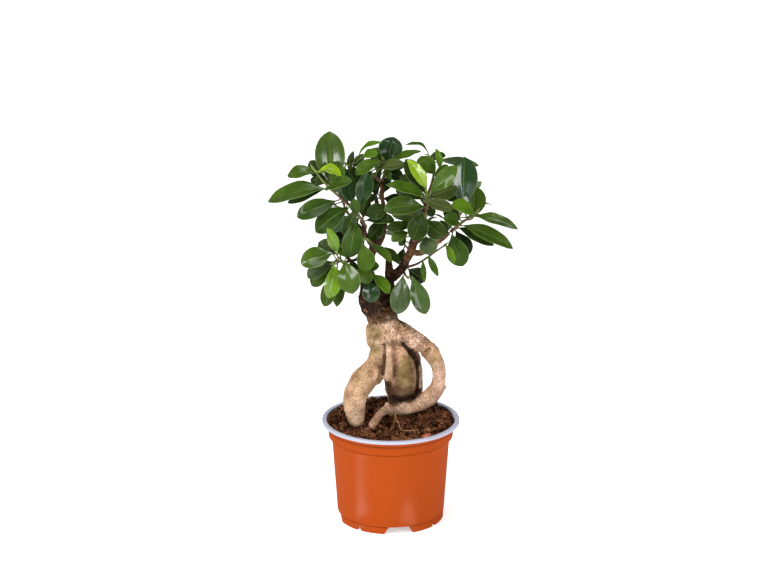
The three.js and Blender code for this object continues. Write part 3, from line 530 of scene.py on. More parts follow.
def freckles():
    """Scattered small ticks that lie level, from 0 to 1"""
    def wire(tree, given):
        flat = {0: object_place(tree), 1: FRECKLE_SHAPE}
        place = node(tree, "ShaderNodeVectorMath", flat, operation="MULTIPLY").outputs[0]
        stir = node(tree, "ShaderNodeTexNoise", {"Vector": place, "Scale": 600.0}).outputs["Color"]
        moved = {0: stir, 1: (MM, MM, MM), 2: place}
        bent = node(tree, "ShaderNodeVectorMath", moved, operation="MULTIPLY_ADD").outputs[0]
        cells = node(tree, "ShaderNodeTexVoronoi", {"Vector": bent, "Scale": given["Scale"]}).outputs
        picked = node(tree, "ShaderNodeSeparateColor", {"Color": cells["Color"]}).outputs[0]
        far = calc(tree, "DIVIDE", cells["Distance"], times(tree, picked, given["Size"]))
        return {"Dots": calc(tree, "POWER", calc(tree, "SUBTRACT", 1.0, far, clamp=True), 0.6)}
    return effect("freckles", {"Scale": 400.0, "Size": 0.4}, ["Dots"], wire)


def leaf_marks():
    """Midrib, side veins and edge of a blade, from the blade's own map"""
    def wire(tree, given):
        flat = node(tree, "ShaderNodeUVMap", uv_map="UVMap").outputs[0]
        spot = node(tree, "ShaderNodeSeparateXYZ", {0: flat})
        off = calc(tree, "ABSOLUTE", calc(tree, "MULTIPLY_ADD", spot.outputs[0], 2.0, -1.0))
        along = spot.outputs[1]
        width = calc(tree, "MULTIPLY_ADD", along, -0.035, 0.055)
        rib = calc(tree, "SUBTRACT", 1.0, calc(tree, "DIVIDE", off, width), clamp=True)
        slanted = calc(tree, "MULTIPLY_ADD", off, -0.13, along)
        wave = calc(tree, "PINGPONG", times(tree, slanted, given["Veins"]), 0.5)
        vein = times(tree, remap(tree, wave, 0.1, 0.0), remap(tree, off, 1.0, 0.55))
        return {
            "Midrib": calc(tree, "POWER", rib, 0.5),
            "Side veins": vein,
            "Edge": remap(tree, off, 0.9, 1.0),
        }
    return effect("leaf_marks", {"Veins": 11.0}, ["Midrib", "Side veins", "Edge"], wire)


# Materials

# Painted shadow lines on the plastic, as a height and a half width: under the flange, under the band and
# in the foot's groove
STEP_SHADOW_LINES = ((0.0835, 0.0005), (0.0753, 0.0004), (0.0062, 0.0003))


def shell_plastic(name, tone, roughness):
    """Moulded plastic, faintly cloudy, with a fine skin and a painted shadow line under each band's step
    and in the foot's groove
    """
    material, tree = new_material(name)
    marks = mottled(tree, 28.0, 1500.0)
    darker = [part * 0.95 for part in tone[:3]] + [1]
    base = blend(tree, remap(tree, marks["Patches"], 0.35, 0.75), tuple(tone), tuple(darker))
    height = node(tree, "ShaderNodeSeparateXYZ", {0: object_place(tree)}).outputs[2]
    # Each line is painted shade, darkening the plastic where a step shades it
    for level, half in STEP_SHADOW_LINES:
        off = calc(tree, "ABSOLUTE", calc(tree, "SUBTRACT", height, level))
        line = times(tree, remap(tree, off, half * 1.3, half * 0.7), 0.8)
        base = blend(tree, line, base, (tone[0] * 0.2, tone[1] * 0.2, tone[2] * 0.4, 1))
    dull = remap(tree, marks["Grain"], 0.2, 0.8, roughness - 0.05, roughness + 0.08)
    skin = bump(tree, marks["Grain"], 0.25, 0.0001)
    return surface(
        material, base, dull, skin, Specular_IOR_Level=0.0, Coat_Weight=0.1, Coat_Roughness=0.32,
    )


def peat(settings):
    """Wet peat in the hollows and dry peat on the crumbs"""
    material, tree = new_material("crumbled_peat")
    marks = mottled(tree, 130.0, 800.0)
    fine = calc(tree, "MULTIPLY_ADD", marks["Grain"], 0.6, times(tree, marks["Patches"], 0.4))
    dryness = attribute(tree, "dryness", "Fac")
    amount = times(tree, remap(tree, fine, 0.38, 0.62, 0.1, 1.0), dryness)
    base = blend(tree, amount, tuple(settings.dark), tuple(settings.light))
    dull = remap(tree, marks["Grain"], 0.2, 0.8, 0.75, 0.98)
    crumb = bump(tree, calc(tree, "ADD", marks["Grain"], marks["Patches"]), 1.0, 0.0016)
    return surface(material, base, dull, crumb, Specular_IOR_Level=0.0)


def coir():
    """Fibres and hairs, each with its own colour"""
    material, tree = new_material("coir")
    marks = mottled(tree, 200.0, 1600.0)
    tint = attribute(tree, "tint")
    deep = shaded(tree, tint, (0.5, 0.42, 0.36))
    base = blend(tree, remap(tree, marks["Patches"], 0.35, 0.65), tint, deep)
    dull = remap(tree, marks["Grain"], 0.2, 0.8, 0.6, 0.9)
    skin = bump(tree, marks["Grain"], 0.4, 0.0002)
    return surface(material, base, dull, skin, Specular_IOR_Level=0.05)


RIND_COLOUR = (0.014, 0.008, 0.006, 1)
FLECK_COLOUR = (0.27, 0.12, 0.045, 1)


def bark(settings):
    """Pale freckled roots with an olive film, and dark flaking bark on neck and branches"""
    material, tree = new_material("ginseng_bark")
    marks = mottled(tree, 95.0, 900.0)
    coarse = mottled(tree, 38.0, 420.0)
    small = use(tree, freckles(), Scale=1250.0, Size=0.62)["Dots"]
    large = use(tree, freckles(), Scale=620.0, Size=0.42)["Dots"]
    tint = attribute(tree, "tint")
    flake = attribute(tree, "flake", "Fac")
    plain = calc(tree, "SUBTRACT", 1.0, flake)
    pale = shaded(tree, tint, (1.2, 1.2, 1.2))
    deep = shaded(tree, tint, (0.66, 0.6, 0.54))
    base = blend(tree, remap(tree, marks["Patches"], 0.3, 0.7), pale, deep)
    speckle = shaded(tree, base, (0.56, 0.49, 0.42))
    base = blend(tree, remap(tree, marks["Grain"], 0.47, 0.64), base, speckle)
    film = times(tree, remap(tree, coarse["Patches"], 0.48, 0.72), attribute(tree, "moss", "Fac"))
    base = blend(tree, times(tree, film, 0.75), base, tuple(settings.moss))
    spots = calc(tree, "MAXIMUM", times(tree, small, 0.4), times(tree, large, 0.5))
    base = blend(tree, times(tree, spots, plain), base, tuple(settings.freckle))
    rind = remap(tree, coarse["Grain"], 0.42, 0.62)
    base = blend(tree, times(tree, rind, flake), base, RIND_COLOUR)
    fleck = times(tree, remap(tree, marks["Grain"], 0.6, 0.72), times(tree, flake, 0.4))
    base = blend(tree, fleck, base, FLECK_COLOUR)
    relief = calc(tree, "MULTIPLY_ADD", marks["Grain"], 0.7, times(tree, spots, -0.4))
    relief = calc(tree, "MULTIPLY_ADD", times(tree, coarse["Grain"], flake), 2.2, relief)
    dull = remap(tree, marks["Grain"], 0.2, 0.8, 0.62, 0.9)
    return surface(material, base, dull, bump(tree, relief, 0.9, 0.0014), Specular_IOR_Level=0.03)


def blade_top(settings):
    """Glossy upper side with a pale midrib, faint side veins and a thin pale edge that is partly the
    blade's own margin and partly a painted rim highlight
    """
    material, tree = new_material("leaf_top")
    marks = use(tree, leaf_marks(), Veins=11.0)
    cloud = mottled(tree, 75.0, 700.0)
    tint = attribute(tree, "tint")
    deep = shaded(tree, tint, (0.72, 0.76, 0.72))
    light = shaded(tree, tint, (1.25, 1.16, 1.1))
    base = blend(tree, remap(tree, cloud["Patches"], 0.3, 0.7), deep, light)
    base = blend(tree, times(tree, marks["Side veins"], 0.05), base, tuple(settings.midrib))
    rib = times(tree, marks["Midrib"], attribute(tree, "rib", "Fac"))
    base = blend(tree, rib, base, tuple(settings.midrib))
    # The thin pale edge is partly the blade's own pale margin and partly a painted rim highlight
    base = blend(tree, times(tree, marks["Edge"], 0.4), base, tuple(settings.edge))
    sheen = attribute(tree, "sheen", "Fac")
    shine = calc(tree, "MULTIPLY_ADD", sheen, -0.22, settings.gloss + 0.08)
    dull = calc(tree, "ADD", shine, remap(tree, cloud["Grain"], 0.25, 0.75, -0.02, 0.04))
    puckers = times(tree, cloud["Patches"], 1.6)
    height = calc(tree, "MULTIPLY_ADD", marks["Side veins"], -0.3, puckers)
    height = calc(tree, "MULTIPLY_ADD", marks["Midrib"], -0.8, height)
    worn = remap(tree, cloud["Patches"], 0.3, 0.6, 0.5, 1.0)
    wax = times(tree, attribute(tree, "polish", "Fac"), worn)
    return surface(
        material, base, dull, bump(tree, height, 0.35, 0.0006), Specular_IOR_Level=0.05,
        Coat_Weight=wax, Coat_Roughness=0.14,
    )


def blade_under(settings):
    """Duller, greyer underside with a raised midrib"""
    material, tree = new_material("leaf_under")
    marks = use(tree, leaf_marks(), Veins=11.0)
    cloud = mottled(tree, 90.0, 900.0)
    base = blend(tree, 0.5, attribute(tree, "tint"), tuple(settings.under))
    base = blend(tree, times(tree, marks["Side veins"], 0.3), base, tuple(settings.midrib))
    base = blend(tree, times(tree, marks["Midrib"], 0.8), base, tuple(settings.midrib))
    height = calc(tree, "ADD", marks["Side veins"], times(tree, marks["Midrib"], 1.5))
    dull = remap(tree, cloud["Grain"], 0.2, 0.8, 0.45, 0.65)
    return surface(material, base, dull, bump(tree, height, 0.5, 0.0005), Specular_IOR_Level=0.2)


def green_stem():
    """Stalks, twigs and buds, green when young and brown when old"""
    material, tree = new_material("green_stem")
    marks = mottled(tree, 160.0, 1400.0)
    dots = use(tree, freckles(), Scale=700.0, Size=0.35)["Dots"]
    tint = attribute(tree, "tint")
    deep = shaded(tree, tint, (0.55, 0.55, 0.5))
    base = blend(tree, remap(tree, marks["Patches"], 0.35, 0.7), tint, deep)
    base = blend(tree, times(tree, dots, 0.35), base, (0.42, 0.36, 0.2, 1))
    dull = remap(tree, marks["Grain"], 0.2, 0.8, 0.4, 0.6)
    skin = bump(tree, marks["Grain"], 0.3, 0.0003)
    return surface(material, base, dull, skin, Specular_IOR_Level=0.25)


# Pot

FOOT_HEIGHT = 6.4
FOOT_RADIUS = 46.5
FOOT_WALL = 2.6
FLOOR = 1.8
DRAIN_RADIUS = 4.5
DRAIN_PLACE = 33
FEET = 4
FOOT_GAP_ANGLE = 8.7
LIP_BOTTOM = 87.45

# Where the pale lip and lining begin
LIP_FROM = 55
LINING_FROM = 8
LINING_RADIUS = 45
LINING_ROUGHNESS = 0.5

# Cuts between the feet and in them, as width at the foot, width at the top and height
FOOT_GAP = (26.5, 17.4, FOOT_HEIGHT + 0.02)
FOOT_NICK = (6.2, 1.0, 4.0)
CUT_REACH = 52


def pot_outline(settings):
    """The wall's outline in millimetres, from the foot up the outside and down the inside"""
    rim = settings.rim_radius / MM
    top = settings.rim_top / MM
    lip = rim - settings.lip_width / MM
    return [
        (43.9, 0.3), (44.2, 0), (46.2, 0), (46.5, 0.3), (46.45, 5.7), (46.2, 6.3), (46.7, 6.6),
        (46.9, 7.2), (49.1, 40), (51.2, 70.3), (52.2, 73.4), (53.6, 74.9), (54.3, 75.6),
        (54.42, 79), (54.45, 82.7), (55.6, 83.0), (56.1, 83.15), (56.2, 83.6), (56.5, 87.1),
        (57.0, 87.4), (rim - 0.5, 87.5), (rim - 0.1, 87.8), (rim, 88.3), (rim, top - 0.7),
        (rim - 0.2, top - 0.2), (rim - 0.7, top), (lip + 0.8, top), (lip + 0.2, top - 0.25),
        (lip, top - 0.9), (lip - 0.4, 84.1), (lip - 2.6, 83.6), (52.6, 75.4), (50.7, 74.7),
        (48.1, 40), (45.6, 9), (44.8, 8.2), (DRAIN_RADIUS, 8.2), (DRAIN_RADIUS, FOOT_HEIGHT),
        (43.4, FOOT_HEIGHT), (43.9, FOOT_HEIGHT - 0.5), (43.9, 0.3),
    ]


def turned_wall(name, outline, sides):
    """A ring is drawn, pulled along the outline step by step, and closed on itself"""
    deselect()
    radius, height = outline[0]
    bpy.ops.mesh.primitive_circle_add(
        vertices=sides, radius=radius * MM, location=(0, 0, height * MM),
    )
    piece = bpy.context.active_object
    bpy.ops.object.transform_apply(location=True, rotation=True, scale=True)
    edit(piece)
    pull_along(outline)
    bpy.ops.mesh.select_all(action="SELECT")
    bpy.ops.mesh.remove_doubles(threshold=0.005 * MM)
    bpy.ops.mesh.normals_make_consistent(inside=False)
    leave_edit()
    piece.name = name
    return piece


def wedge(width_low, width_high, height, near, angle):
    """A block that narrows upwards, laid outwards from near the middle at an angle"""
    deselect()
    middle = (near + CUT_REACH) / 2
    bpy.ops.mesh.primitive_cube_add(size=1, location=(0, -middle * MM, (height / 2 - 0.5) * MM))
    piece = bpy.context.active_object
    piece.scale = (width_low * MM, (CUT_REACH - near) * MM, (height + 1) * MM)
    bpy.ops.object.transform_apply(location=True, rotation=True, scale=True)
    where = places(piece)
    top = where[:, 2] > height / 2
    where[top, 0] *= width_high / width_low
    x, y = turned(where[:, 0], where[:, 1], math.radians(angle))
    set_places(piece, np.stack([x, y, where[:, 2]], 1))
    return piece


def drain(angle):
    """A round bar through the pot's floor, which cuts one drain hole"""
    deselect()
    x, y = turned(DRAIN_PLACE, 0, math.radians(angle - 90))
    bpy.ops.mesh.primitive_cylinder_add(
        vertices=32, radius=DRAIN_RADIUS * MM, depth=4 * FLOOR * MM,
        location=(x * MM, y * MM, (FOOT_HEIGHT + FLOOR / 2) * MM),
    )
    piece = bpy.context.active_object
    bpy.ops.object.transform_apply(location=True, rotation=True, scale=True)
    return piece


def build_pot(settings):
    """The turned wall, less the gaps between its feet, the nicks in them and the drain holes"""
    piece = turned_wall("nursery_pot", pot_outline(settings), settings.sides)
    cutters = []
    for foot in range(FEET):
        angle = FOOT_GAP_ANGLE + foot * 360 / FEET
        cutters.append(wedge(*FOOT_GAP, FOOT_RADIUS - 3 * FOOT_WALL, angle))
        cutters.append(wedge(*FOOT_NICK, FOOT_RADIUS - 2 * FOOT_WALL, angle + 180 / FEET))
        cutters.append(drain(angle))
    tool = join(cutters, "pot_cutter")
    apply_modifier(piece, "BOOLEAN", object=tool, operation="DIFFERENCE", solver="EXACT")
    bpy.data.objects.remove(tool)
    merge_doubles(piece)
    shell = shell_plastic("terracotta_plastic", settings.outside, settings.roughness)
    lining = shell_plastic("lavender_plastic", settings.inside, LINING_ROUGHNESS)
    dress(piece, [shell, lining], 24, "plastic", "pot")
    for face in piece.data.polygons:
        centre = face.center / MM
        radius = math.hypot(centre.x, centre.y)
        outward = face.normal.x * centre.x + face.normal.y * centre.y
        lip = centre.z > LIP_BOTTOM and radius > LIP_FROM
        inner = centre.z > LINING_FROM and (outward < -0.2 * radius or radius < LINING_RADIUS)
        face.material_index = 1 if lip or inner else 0


# Soil

SOIL_LEVEL = 87
SOIL_RISE = 4
SOIL_LUMPS = 1.1
SOIL_RADIUS = 55.3
SOIL_EDGE_HEIGHT = 88.3
SOIL_EDGE_FROM = 49
SOIL_EDGE_WIDTH = 6

# Radius and height of each step down the filling's side, from its rim to its flat bottom
SOIL_SIDE = [(SOIL_RADIUS, 86), (55.1, 84.6), (51.6, 83.8), (51.4, 76), (49.8, 75), (44.5, 8.6)]

# Where each root goes into the soil, as a place and a reach
ROOT_FEET = [(-29.5, -8, 9.5), (-15, -11, 5), (6, 26, 8), (18, 29, 7.5)]

# Tufts of coir as a place and a reach
TUFTS = [
    (14, -38, 9), (22, -33, 8), (8, -44, 7), (18, -42, 6), (30, -20, 7), (-44, -18, 6), (-34, -34, 7),
    (-20, -30, 6), (40, 2, 7), (-10, 14, 8), (-30, 22, 9), (6, 42, 9), (34, 34, 9), (-44, 10, 7),
]
TUFT_STRANDS = 60

# Bark chips as a place, half a length, a turn and a brightness
CHIPS = [
    (30, -40, 4.8, 0.5, 1.45), (43, -17, 3, 1.2, 0.35), (-40, -31, 3.2, 0.2, 0.7),
    (-48, -20, 2.6, 2.2, 0.45), (20, 30, 3, 2.6, 0.5), (-24, 36, 3.4, 0.9, 0.4),
    (2, -50, 2.2, 1.9, 0.55),
]
CHIP_COLOUR = np.array([0.38, 0.125, 0.068])

CLOD_SEED = 21
CRUMB_SEED = 22
FIBRE_SEED = 23
TUFT_SEED = 51
CHIP_SEED = 71


def soil_height(x, y):
    """The broad rise and the low lumps of the soil"""
    lumps = np.sin(x * 0.21 + 1) * np.cos(y * 0.17) + 0.6 * np.sin(x * 0.11 - y * 0.25)
    return SOIL_LEVEL + SOIL_RISE * y / 60 + SOIL_LUMPS * lumps


def fine_soil_height(x, y):
    """The soil's height at one place, with its clods and with a low heap round each root"""
    clods = noise.noise(Vector((x * 0.16, y * 0.16, 3.1))) * 2.0
    clods += noise.noise(Vector((x * 0.36, y * 0.36, 7.7))) * 2.4
    clods += abs(noise.noise(Vector((x * 0.8, y * 0.8, 1.3)))) * 2.0
    heap = 0
    for root_x, root_y, reach in ROOT_FEET:
        off = math.hypot(x - root_x, y - root_y) / reach
        heap += 1.2 * math.exp(-((off - 1.1) * 2.2) ** 2)
    edge = min(1, max(0, (math.hypot(x, y) - SOIL_EDGE_FROM) / SOIL_EDGE_WIDTH))
    ground = soil_height(x, y)
    return ground + clods + heap + (SOIL_EDGE_HEIGHT - ground) * 0.75 * edge


def crests(where):
    """How dry broad parts of the soil are, from wet patches to dry ones"""
    broad = noise_at(where * (0.1, 0.1, 0) + (0, 0, 4.4), 1)
    return np.clip(1.0 + 2.0 * broad, 0.15, 1.9)


def build_soil_bed(settings):
    """A round uneven sheet whose rim is pulled down inside the pot to a flat bottom"""
    piece = sheet_pattern("soil_bed", 150, 150)
    flat = places(piece) * MM
    a, b = flat[:, 0], flat[:, 1]
    x = a * np.sqrt(1 - b * b / 2) * SOIL_RADIUS
    y = b * np.sqrt(1 - a * a / 2) * SOIL_RADIUS
    z = np.array([fine_soil_height(*spot) for spot in zip(x, y)])
    set_places(piece, np.stack([x, y, z], 1))
    edit(piece, "DESELECT")
    bpy.ops.mesh.select_mode(type="EDGE")
    bpy.ops.mesh.select_non_manifold()
    pull_along(SOIL_SIDE)
    bpy.ops.mesh.edge_face_add()
    bpy.ops.mesh.select_mode(type="VERT")
    leave_edit()
    where = places(piece)
    where[where[:, 2] < 20, 2] = SOIL_SIDE[-1][1]
    set_places(piece, where)
    dryness = 0.03 + 0.4 * np.maximum(0, noise_at(where, 0.25) + 0.1)
    paint(piece, "dryness", np.clip(dryness * crests(where), 0, 1))
    dress(piece, [peat(settings)], 60, "peat", "soil")


def scattered(name, pattern, count, seed, place_one, **layers):
    """Many small copies of one pattern in one mesh, each placed by its own rule"""
    random = random_numbers(seed)
    shape = places(pattern) * MM
    faces = [list(face.vertices) for face in pattern.data.polygons]
    spots, sides = [], []
    marks = {label: [] for label in layers}
    for _ in range(count):
        start = len(spots) * len(shape)
        spots.append(place_one(shape, random))
        sides.extend([start + corner for corner in face] for face in faces)
        for label, pick in layers.items():
            marks[label].extend([pick(random)] * len(shape))
    mesh = bpy.data.meshes.new(name)
    mesh.from_pydata((np.concatenate(spots) * MM).tolist(), [], sides)
    piece = bpy.data.objects.new(name, mesh)
    bpy.context.scene.collection.objects.link(piece)
    for label, values in marks.items():
        paint(piece, label, values)
    return piece


def somewhere_on_soil(random, reach=SOIL_RADIUS - 1.5):
    """A random place on the soil that is clear of the roots"""
    while True:
        angle = 2 * math.pi * next(random)
        radius = reach * math.sqrt(next(random))
        x, y = radius * math.cos(angle), radius * math.sin(angle)
        if all(math.hypot(x - foot[0], y - foot[1]) > foot[2] * 0.75 for foot in ROOT_FEET):
            return x, y


def spun(shape, random):
    """Turned by a random amount about each axis"""
    shape = shape.copy()
    for first, second in ((0, 1), (1, 2), (0, 2)):
        turn = 2 * math.pi * next(random)
        shape[:, first], shape[:, second] = turned(shape[:, first], shape[:, second], turn)
    return shape


def clod(low, high):
    """An uneven crumb between two radii, half sunk in the soil"""
    def place_one(shape, random):
        x, y = somewhere_on_soil(random)
        radius = low + (high - low) * next(random) ** 2
        stretch = np.array([1.0, 0.6 + 0.4 * next(random), 0.45 + 0.3 * next(random)])
        uneven = 1 + 0.35 * np.sin(shape @ np.array([5.1, 3.7, 4.4]) + 6 * next(random))
        made = spun(shape * stretch * uneven[:, None] * radius, random)
        return made + np.array([x, y, fine_soil_height(x, y) + 0.25 * radius])
    return place_one


def strand(length_low, length_high, radius, lift, tuft=None):
    """A curled fibre that starts in the soil and lies on it, anywhere or in one tuft"""
    def place_one(shape, random):
        if tuft:
            x = tuft[0] + tuft[2] * (next(random) + next(random) - 1)
            y = tuft[1] + tuft[2] * (next(random) + next(random) - 1)
        else:
            x, y = somewhere_on_soil(random, SOIL_RADIUS - 3)
        length = length_low + (length_high - length_low) * next(random) ** 2
        angle = 2 * math.pi * next(random)
        curl = (next(random) - 0.5) * 3.2
        rise = lift * next(random) ** 3
        wide = radius * (0.6 + 0.8 * next(random))
        along = (shape[:, 2] + 1) / 2
        heading = angle + curl * along
        reach = length * along
        centre_x = x + reach * np.cos(heading)
        centre_y = y + reach * np.sin(heading)
        off = np.hypot(centre_x, centre_y)
        pull = np.minimum(1, (SOIL_RADIUS - 1) / np.maximum(off, 1))
        centre_x, centre_y = centre_x * pull, centre_y * pull
        ground = np.array([fine_soil_height(*spot) for spot in zip(centre_x, centre_y)])
        height = ground + 0.25 + rise * np.sin(math.pi * along * 0.8) - 0.8 * (along < 0.01)
        taper = wide * (1 - 0.5 * along)
        made = np.empty_like(shape)
        made[:, 0] = centre_x - np.sin(heading) * shape[:, 0] * taper
        made[:, 1] = centre_y + np.cos(heading) * shape[:, 0] * taper
        made[:, 2] = height + shape[:, 1] * taper
        return made
    return place_one


def chip(x, y, long, turn):
    """A flat chip of bark that lies on the soil"""
    def place_one(shape, random):
        made = np.sign(shape) * np.abs(shape) ** 0.5 * np.array([long, long * 0.7, 0.7])
        made[:, 2] += 0.25 * made[:, 0]
        across, back = turned(made[:, 0], made[:, 1], turn)
        return np.stack([across + x, back + y, made[:, 2] + fine_soil_height(x, y) + 1.2], 1)
    return place_one


def rod_pattern(sides, rows):
    """A thin rod of one unit radius from -1 to 1, closed at its ends"""
    flat = sheet_pattern("rod", sides, rows)
    level = np.linspace(-1, 1, rows + 1)
    centres = np.stack([level * 0, level * 0, level], 1)
    width = np.full(rows + 1, 1 / MM)
    ways = [SKY] * (rows + 1)
    rod = tube(flat, "rod_pattern", centres / MM, ways, np.array([0, 1.0, 0]), width)
    bpy.data.objects.remove(flat)
    merge_doubles(rod, 1)
    return rod


def build_soil_litter(settings):
    """Clods and crumbs in one piece, and loose fibres, tufts and bark chips in another"""
    deselect()
    bpy.ops.mesh.primitive_ico_sphere_add(subdivisions=2, radius=1)
    lump = bpy.context.active_object
    bpy.ops.mesh.primitive_ico_sphere_add(subdivisions=1, radius=1)
    grit = bpy.context.active_object
    rod = rod_pattern(4, 7)
    dry = {"dryness": lambda random: next(random) ** 1.7}
    damp = {"dryness": lambda random: 0.5 * next(random)}
    clods = scattered("soil_clods", lump, settings.clods, CLOD_SEED, clod(0.9, 3.0), **damp)
    crumbs = scattered("soil_crumbs", grit, settings.crumbs, CRUMB_SEED, clod(0.3, 1.1), **dry)
    ground = join([clods, crumbs], "soil_crumbs")
    paint(ground, "dryness", np.clip(painted(ground, "dryness") * crests(places(ground)), 0, 1))
    dress(ground, [bpy.data.materials["crumbled_peat"]], 60, "peat")
    tone = np.array(settings.fibre[:3])
    dim = {"tint": lambda random: tone * (0.05 + 0.9 * next(random) ** 3)}
    bright = {"tint": lambda random: tone * (0.2 + 0.9 * next(random) ** 1.5)}
    loose = strand(2.5, 12, 0.17, 2.2)
    parts = [scattered("soil_fibres", rod, settings.fibres, FIBRE_SEED, loose, **dim)]
    for seed, tuft in enumerate(TUFTS, TUFT_SEED):
        dense = strand(3, 11, 0.24, 2.5, tuft)
        parts.append(scattered("tuft", rod, TUFT_STRANDS, seed, dense, **bright))
    for seed, (*spot, brightness) in enumerate(CHIPS, CHIP_SEED):
        parts.append(scattered("chip", grit, 1, seed, chip(*spot)))
        paint_all(parts[-1], "tint", CHIP_COLOUR * brightness)
    fibres = join(parts, "soil_fibres")
    dress(fibres, [coir()], 60, "peat")
    for spare in (lump, grit, rod):
        bpy.data.objects.remove(spare)


# Wood: each limb's line gives the place, half the width as seen and half the depth

LEFT_LEG = [
    (-8, 162, 0, 9, 9), (-10.9, 150, 0, 7.5, 9), (-14.6, 137.5, -1, 9, 10), (-23.9, 124.5, -3, 11.2, 10),
    (-30.1, 112, -5, 10.5, 9.8), (-31.4, 100, -7, 9.6, 9.2), (-30.4, 90, -8, 7.6, 8),
    (-29.2, 80, -8, 4.9, 6), (-28.4, 70, -8, 4.4, 5.4),
]
LOOP_ROOT = [
    (-3, 173, 0, 9, 9), (7, 170, -1, 9, 8.5), (18, 163.4, -2, 8, 7.5), (28, 157, -2, 7.2, 7),
    (36, 148, 0, 7.2, 6.4), (41, 138, 4, 5.9, 5.6), (42, 128, 7, 5.7, 5.6), (40.6, 118.5, 10, 6.8, 5.6),
    (34.8, 110.4, 12, 7.2, 5.8), (25.5, 103.5, 14, 6.8, 5.8), (13, 98.8, 14, 5.7, 5.4),
    (1.5, 98, 9, 4.9, 4.8), (-6.2, 96.6, 1, 4, 4.1), (-11.6, 90.4, -8, 3.4, 3.6),
    (-16.2, 82.6, -16, 3.3, 3.5), (-19.8, 73, -20, 2.8, 3),
]
BULB = [
    (2, 168, 0, 9, 9), (4.5, 156, 3, 11.5, 11), (7, 143, 8, 14, 12.5), (8.5, 130, 12, 14.6, 12.5),
    (8.2, 118, 17, 13.4, 11.5), (7.6, 108, 21, 10.2, 9.5), (7, 98, 25, 8, 8), (6, 87, 27, 7, 7),
    (6, 78, 28, 5.5, 5.5),
]
BACK_ROOT = [
    (12, 160, 6, 6, 6), (19.5, 149, 12, 5, 5.5), (22.8, 137, 17, 4.2, 5.2), (23.6, 125, 20, 4.2, 5.2),
    (22.8, 113, 23, 5, 5.4), (20.5, 102, 26, 5.6, 5.8), (18.5, 92, 29, 6.2, 6), (17.5, 81, 30, 5, 5),
]
NECK = [
    (-5, 152, 1, 10.5, 10.5), (-5.6, 160, 1, 15, 12.5), (-5.9, 170, 0, 16.2, 13),
    (-6.5, 179, 0, 13.2, 12.5), (-9.5, 187, 0, 12, 12.5), (-13, 196, 0, 14, 13.2),
    (-14, 205, 0, 13.4, 12.2), (-16, 213.5, 0, 10, 9.5),
]
HANGING_ROOT = [
    (-2, 167, -9, 3.4, 4), (-2, 155, -10, 2.9, 4), (-2, 142, -8.5, 3.5, 4.2),
    (-2.4, 132.5, -6, 3.9, 4.4), (-2.2, 125.5, -3.6, 2.4, 3.6),
]
BRANCHES = [
    [(-19, 204, -2, 5.5), (-22.5, 216, -4, 3.8), (-25.8, 230, -6, 2.9), (-25.6, 242, -6, 2.4),
     (-24, 253, -5, 2.1), (-22.4, 262, -4, 1.9), (-25.5, 269, -4, 1.6)],
    [(-26, 236, -6, 1.9), (-31, 233.5, -12, 1.4), (-38.4, 232, -17.4, 1.2)],
    [(-14, 203, 3, 7), (-18.4, 224, 5, 3.8), (-17.2, 238, 5, 3.7), (-10, 252, 3, 4.1),
     (-6, 264, 3, 2.9), (-5.8, 276, 3, 2), (-7.4, 290, 3, 1.6), (-7.9, 301, 3, 1.4)],
    [(-3, 196, 1, 5.5), (-1.4, 210, 0, 4.2), (-1.4, 222, 0, 3.6), (-1.8, 236, 0, 2.6)],
    [(-2, 215, 0, 3.2), (4, 220.5, -1, 4), (9.5, 226, -2, 4), (13, 233.5, -3, 3.5), (17, 241, -3, 3.4),
     (18.2, 249.5, -4, 2.6), (21.2, 257, -8, 2.1), (25.4, 265, -12, 1.7), (28.6, 273, -15, 1.5)],
    [(22.5, 260, -9.5, 1.7), (26, 270, -8, 1.6), (29, 281, -7.5, 1.5), (30.8, 289.3, -8, 1.3)],
    [(17, 241, -3, 2.6), (24.5, 239.8, -6, 2.6), (31, 243.2, -8, 2.3), (38, 248.4, -9, 2.4),
     (45, 253.4, -10, 2), (49.5, 257.7, -11, 1.6)],
    [(-13, 244, 6, 3.5), (-24, 259, 17, 2.2), (-35.8, 273.7, 27, 1.5)],
    [(-6, 264, 4, 2.8), (-11, 280, 17, 2), (-14, 294.7, 29, 1.4)],
    [(17, 241, -3, 3), (24, 256, 10, 2.1), (29.9, 270.7, 22.5, 1.4)],
    [(38, 248.4, -9, 1.9), (46, 258, 8, 1.6), (53.8, 268, 21, 1.3)],
    [(-18, 214, 4, 4), (-28, 226, 15, 2.2), (-37.8, 236.2, 26, 1.4)],
    [(8, 225, 0, 3), (14, 236, 14, 2), (19.8, 246.2, 27.5, 1.3)],
]

# Small growths on the wood, as places with a radius
KNOBS = [
    (-12, 165, -11, 3.2), (-7, 171, -12, 2.6), (3, 172, -9, 2.8), (-3, 183.5, -11.5, 3.5),
    (46.6, 118.6, 9, 2.1), (36, 156.5, -6, 2.6), (28.5, 149.5, -3, 3.2), (15.5, 169.5, -7, 2.8),
    (-18, 172, -6, 3.4), (-21.2, 192, -5, 4), (0, 190, -8, 4), (-22.6, 205, -6, 3.2),
    (-9.6, 130.5, -3, 5), (-6.8, 130.6, 0, 4.4), (-12.2, 125.8, -3, 4.4),
    (-3.3, 102.6, 3, 1.9), (-0.5, 93.4, 4, 1.8),
    (-5, 207, -9, 3.8), (1.5, 184, -6, 3.2), (13, 236, -6, 2.4), (17.5, 247, -6.5, 2.2),
    (-18, 141, -8, 3), (-34, 118, -11, 3.5), (-6, 98.5, -4, 2.4), (10, 101, 9, 2.6),
]

